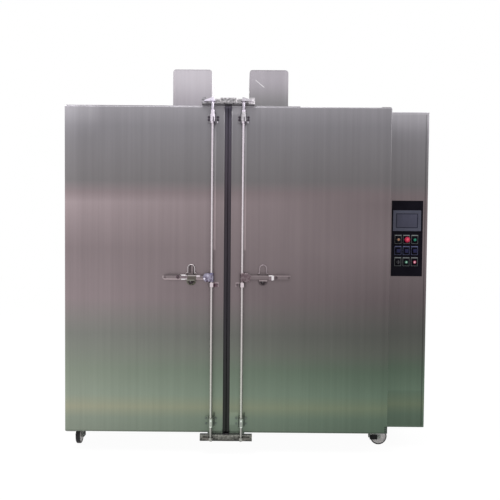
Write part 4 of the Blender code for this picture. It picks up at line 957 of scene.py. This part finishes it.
def make_keeper_foot(material):
    """The strip under the lower keeper's rear lip, behind its notches."""
    low, high = corners("lower_keeper_beam")
    back = low.y + KEEPER_REAR_LIP
    box = (low.x, back + 0.0005, low.z - 0.0095), (high.x, back + 0.0065, low.z + 0.0008), SHEET_RADIUS
    add_boxes("lower_keeper_foot", [box], "plated_steel", material)


LEGEND_WIDTH = 0.048
LEGEND_HEIGHT = 0.056
LEGEND_BAR = 0.0022
LEGEND_TOP_BAR = 0.007
LEGEND_PROUD = 0.0012
PANEL_TRIM = 0.0095
METER_HALF = 0.013
DISPLAY_MARGIN = 0.023


def make_panel_details():
    """Legend frames, lamp faces and the display, each standing just off the panel."""
    stop, start, selector = map(middle, ("emergency_stop", "start_button", "selector_switch"))
    columns = (selector.x, stop.x, start.x)
    rows = (stop.z, (stop.z + selector.z) / 2, selector.z)
    lamp_face = PANEL_LOW.y
    legend = coated("legend_grey", COLOURS["legend"], (0.45, 0.6))
    meter = coated("meter_frame_blue", COLOURS["meter_frame"], (0.45, 0.6))
    bar = coated("legend_bar_grey", COLOURS["legend_bar"], (0.45, 0.6))
    for group, levels, *looks in (("legend", rows[::2], legend, bar), ("meter", rows[1:2], meter, meter)):
        frames, heads = bmesh.new(), bmesh.new()
        for x in columns:
            for z in levels:
                shape_frame(frames, heads, x, z)
        add_piece(group + "_frames", frames, "panel_black", looks[0])
        add_piece(group + "_bars", heads, "panel_black", looks[1])
    first = (PANEL_HIGH.x - 0.001, PANEL_FACE_Y + 0.0004, PANEL_LOW.z)
    last = (PANEL_HIGH.x + PANEL_TRIM, PANEL_FACE_Y + 0.004, PANEL_HIGH.z)
    look = coated("trim_black", COLOURS["panel"], (0.4, 0.5), specular=0.05)
    add_boxes("panel_trim", [(first, last, SHEET_RADIUS)], "panel_black", look)
    place = (columns[0], lamp_face + 0.004, rows[0])
    profile = [(0, 0), (0.014, 0), (0.014, 0.0045), (0, 0.0045)]
    look = coated("lamp_ring_black", COLOURS["black"], specular=0.3)
    add_turned("warning_lamp_ring", place, OUT, profile, "knob_black", look)
    place = (columns[0], lamp_face - 0.0004, rows[0])
    profile = [(0, 0), (0.0085, 0), (0.0085, 0.0022), (0.006, 0.0035), (0, 0.004)]
    look = coated("lamp_amber", COLOURS["amber"], (0.2, 0.3), specular=0.3)
    add_turned("warning_lamp", place, OUT, profile, "screen_grey", look)
    boxes = []
    for x in columns:
        first = (x - METER_HALF, lamp_face - 0.0012, rows[1] - METER_HALF)
        boxes.append((first, (x + METER_HALF, lamp_face, rows[1] + METER_HALF), 0.0008))
    look = coated("meter_indigo", COLOURS["meter"], (0.3, 0.4), specular=0.2)
    add_boxes("meters", boxes, "screen_grey", look)
    screen_low, screen_high = corners("touch_screen")
    low = screen_low + Vector((DISPLAY_MARGIN, 0.0006, DISPLAY_MARGIN))
    high = Vector((screen_high.x - DISPLAY_MARGIN, screen_low.y + 0.0022, screen_high.z - DISPLAY_MARGIN))

    def display_colour(nodes):
        x, _, z = nodes.place()
        inside = nodes.within(x, low.x + 0.007, high.x - 0.007)
        inside = nodes.times(inside, nodes.within(z, low.z + 0.006, high.z - 0.006))
        return nodes.mix(inside, COLOURS["display_edge"], COLOURS["display"])

    look = painted_plastic("display_glass", display_colour, (0.28, 0.36), 0.25)
    add_boxes("screen_display", [(low, high, 0.0004)], "screen_grey", look)


HEAD_FOLD_REACH = 0.5
HEAD_FOLD_RISE = 0.0028
KEEPER_FOLD_REACH = 0.186
FOOT_FOLD_REACH = 0.13
FOLD_RISE = 0.0052


def make_door_folds(material):
    """The folded edges beside the centre seal, along the doors' heads and at their feet."""
    for side, way in SIDES.items():
        door = f"{side}_door"
        low, high = corners(door)
        inner = high.x if way < 0 else low.x
        start = inner + way * 0.001
        near = CENTRE_X + way * KEEPER_FOLD_REACH
        far = low.x + 0.012 if way < 0 else CENTRE_X + HEAD_FOLD_REACH
        foot = CENTRE_X + way * FOOT_FOLD_REACH
        last = (inner + way * 0.0075, low.y + 0.002, high.z - 0.008)
        boxes = [((start, low.y - 0.0012, low.z + 0.008), last, SHEET_RADIUS)]
        for first, second, bottom, top in (
            (near, far, high.z - 0.003, high.z + HEAD_FOLD_RISE),
            (start, near, high.z - 0.003, high.z + FOLD_RISE),
            (start, foot, low.z - FOLD_RISE, low.z + 0.004),
        ):
            boxes.append(((first, low.y - 0.0004, bottom), (second, low.y + 0.003, top), SHEET_RADIUS))
        add_boxes(door + "_folds", boxes, "brushed_stainless", material, door)


def make_seal_heads(material):
    """The end of each half of the centre seal, up to the keeper."""
    for side in SIDES:
        low, high = corners(f"{side}_door_seal")
        first = (low.x + 0.0006, low.y + 0.0006, high.z - 0.004)
        last = (high.x - 0.0006, low.y + 0.012, BODY_TOP + 0.0048)
        box = (first, last, SHEET_RADIUS)
        add_boxes(f"{side}_seal_head", [box], "black_silicone", material, f"{side}_door")


def make_cabinet_folds(steel, dark):
    """The folded edges of the cabinet's front and head, and the shadowed seam inside the right one."""
    low, high = corners("control_cabinet")
    foot, head, crest = low.z + 0.01, high.z - 0.01, high.z + FOLD_RISE
    for name, start, end, proud, material in (
        ("cabinet_folds_left", (low.x + 0.004, foot), (low.x + 0.012, head), 0.0015, steel),
        ("cabinet_seam", (high.x - 0.024, foot), (high.x - 0.018, head), 0.0008, dark),
        ("cabinet_folds_right", (high.x - 0.016, foot), (high.x - 0.006, head), 0.0015, steel),
        ("cabinet_head_fold", (low.x + 0.01, high.z - 0.003), (high.x - 0.001, crest), 0.0008, steel),
    ):
        box = (start[0], low.y - proud, start[1]), (end[0], low.y + 0.002, end[1]), proud / 2.2
        add_boxes(name, [box], "brushed_stainless", material)


def make_hinge_shoe(material):
    """The dark toothed shoe over the pivot at the right door's lower outer corner."""
    low, high = corners("right_door")
    near, far = low.y - 0.003, low.y + 0.002
    edge = high.x - 0.001
    bottom = low.z + 0.003
    boxes = [((edge - 0.006, near, bottom), (edge, far, bottom + 0.05), 0.0008)]
    for tooth in range(4):
        start = bottom + 0.013 * tooth
        boxes.append(((edge - 0.02, near, start), (edge - 0.005, far, start + 0.0075), 0.0008))
    add_boxes("right_hinge_shoe", boxes, "plated_steel", material, "right_door")


# Casters


CASTERS = {"front_left": 180.0, "front_right": -90.0, "rear_left": 0.0, "rear_right": 0.0}
CASTER_TRAIL = 0.04
TREAD_THICKNESS = 0.009
PEDAL_COVER = ((-0.0385, -0.035, 0.0825), (0.0385, -0.0238, 0.0995))
ARM_COVER = ((0.0262, -0.0275, 0.0415), (0.029, 0.0295, 0.0768))


def turn_by(angle, axis):
    return Matrix.Rotation(math.radians(angle), 4, axis)


def make_brake_covers(material):
    """Black mouldings over each caster's brake pedal and its two side plates."""
    for name, angle in CASTERS.items():
        turn = turn_by(angle, "Z")
        swivel = middle(name + "_wheel") - turn @ Vector((0, CASTER_TRAIL, 0))
        bm = bmesh.new()
        shape_box(bm, *PEDAL_COVER, 0.002)
        for way in (-1, 1):
            low, high = ((way * corner[0], *corner[1:]) for corner in ARM_COVER)
            shape_box(bm, low, high, 0.001)
        bmesh.ops.transform(bm, matrix=Matrix.Translation((swivel.x, swivel.y, 0)) @ turn, verts=bm.verts)
        add_piece(name + "_brake_cover", bm, "knob_black", material, name + "_caster")


def make_rod_sleeves():
    """The thicker sleeve on each rod between its upper bearing and its cam."""
    for side in SIDES:
        foot = BEARING_TOP + 0.013
        place = (ROD_X[side], corners(f"{side}_lock_rod")[0].y + 0.022, foot)
        tall = BODY_TOP + 0.018 - foot
        profile = [(0, 0), (0.0095, 0), (0.0102, 0.001), (0.0102, tall - 0.001), (0.0095, tall), (0, tall)]
        # Chrome in each rod's painted reflected colour, lighter on the left
        colour = [c * 0.98 for c in CAM_COLOURS["left"]] if side == "left" else (0.80, 0.77, 0.82)
        look = plain_metal(side + "_sleeve_chrome", colour, roughness=(0.2, 0.32), mottle=0.05)
        add_turned(f"{side}_rod_sleeve", place, (0, 0, 1), profile, "polished_chrome", look, f"{side}_rod")


# Stage


def make_camera():
    data = bpy.data.cameras.new("camera")
    data.lens = CAMERA_LENS
    data.sensor_width = 36.0
    data.shift_x, data.shift_y = CAMERA_SHIFT
    camera = add_object("camera", data)
    turn = turn_by(CAMERA_YAW, "Z") @ turn_by(90 + CAMERA_PITCH, "X") @ turn_by(CAMERA_ROLL, "Z")
    camera.matrix_world = Matrix.Translation(CAMERA_PLACE) @ turn
    bpy.context.scene.camera = camera


def make_area_light(name, place, target, size, power):
    data = bpy.data.lights.new(name, "AREA")
    data.shape = "RECTANGLE"
    data.size, data.size_y = size
    data.energy = power
    lamp = add_object(name, data)
    aim = (Vector(target) - Vector(place)).to_track_quat("-Z", "Y").to_matrix().to_4x4()
    lamp.matrix_world = Matrix.Translation(place) @ aim


def seen_directly(nodes):
    """1 for rays that show the background: straight from the camera, or through gloss or glass."""
    path = nodes.add("ShaderNodeLightPath")
    seen = nodes.either(path.outputs["Is Camera Ray"], path.outputs["Is Glossy Ray"])
    return nodes.either(seen, path.outputs["Is Transmission Ray"])


def make_stage():
    world = bpy.data.worlds.new("studio")
    bpy.context.scene.world = world
    world.use_nodes = True
    nodes = Nodes(world.node_tree)
    background = world.node_tree.nodes["Background"]
    nodes.feed(background.inputs["Color"], (1.0, 1.0, 1.0, 1.0))
    nodes.feed(background.inputs["Strength"], nodes.between(seen_directly(nodes), 0.55, 1.0))

    material, nodes = new_material("studio_floor")
    nodes.connect(Base_Color=(0.9, 0.9, 0.9, 1.0), Roughness=0.9)
    glow = nodes.add("ShaderNodeEmission", {"Color": (1.0, 1.0, 1.0, 1.0), "Strength": 1.04})
    share = nodes.times(seen_directly(nodes), 0.92)
    blend = nodes.add("ShaderNodeMixShader", {0: share, 1: nodes.shader.outputs[0], 2: glow.outputs[0]})
    nodes.feed(nodes.tree.nodes["Material Output"].inputs["Surface"], blend.outputs[0])
    bm = bmesh.new()
    bmesh.ops.create_grid(bm, x_segments=2, y_segments=2, size=30.0)
    add_mesh("studio_floor", bm, material)

    make_area_light("key_light", (-1.5, -3.0, 6.5), (0, -0.6, 1.2), (4.0, 3.0), 250.0)
    make_area_light("fill_light", (4.6, -2.4, 4.4), (0, -0.6, 1.3), (2.0, 2.6), 60.0)
    make_area_light("back_light", (0.6, 4.2, 4.6), (0, 0.6, 1.6), (3.0, 2.0), 60.0)


def main():
    make_camera()
    make_stage()
    looks = {
        name: plain_metal(f"{name}_fastener", colour, roughness=(0.35, 0.5), metallic=0.8, scale=90.0)
        for name, colour in FASTENER_COLOURS.items()
    }
    looks["plated"] = plain_metal("plated_steel", COLOURS["plated"], scale=90.0)
    dress_nodes(looks["plated"])
    make_fasteners(looks)
    make_keeper_foot(looks["strip"])
    make_panel_details()
    # The folds are painted a little lighter than the sheet as a highlight, and the cabinet's seam darker as
    # shade
    make_door_folds(brushed_steel("door_fold_steel", 1.03))
    # The seal heads are painted pale grey, as painted light where the keeper shades them
    make_seal_heads(coated("seal_head_rubber", (0.42, 0.40, 0.45), (0.5, 0.65), specular=0.5))
    make_cabinet_folds(brushed_steel("cabinet_fold_steel", 1.04), brushed_steel("cabinet_seam_steel", 0.8))
    make_hinge_shoe(looks["shoe"])
    make_rod_sleeves()
    make_brake_covers(coated("brake_black", COLOURS["black"], (0.4, 0.55), specular=0.15))
    bpy.context.scene.view_settings.view_transform = "Standard"


main()
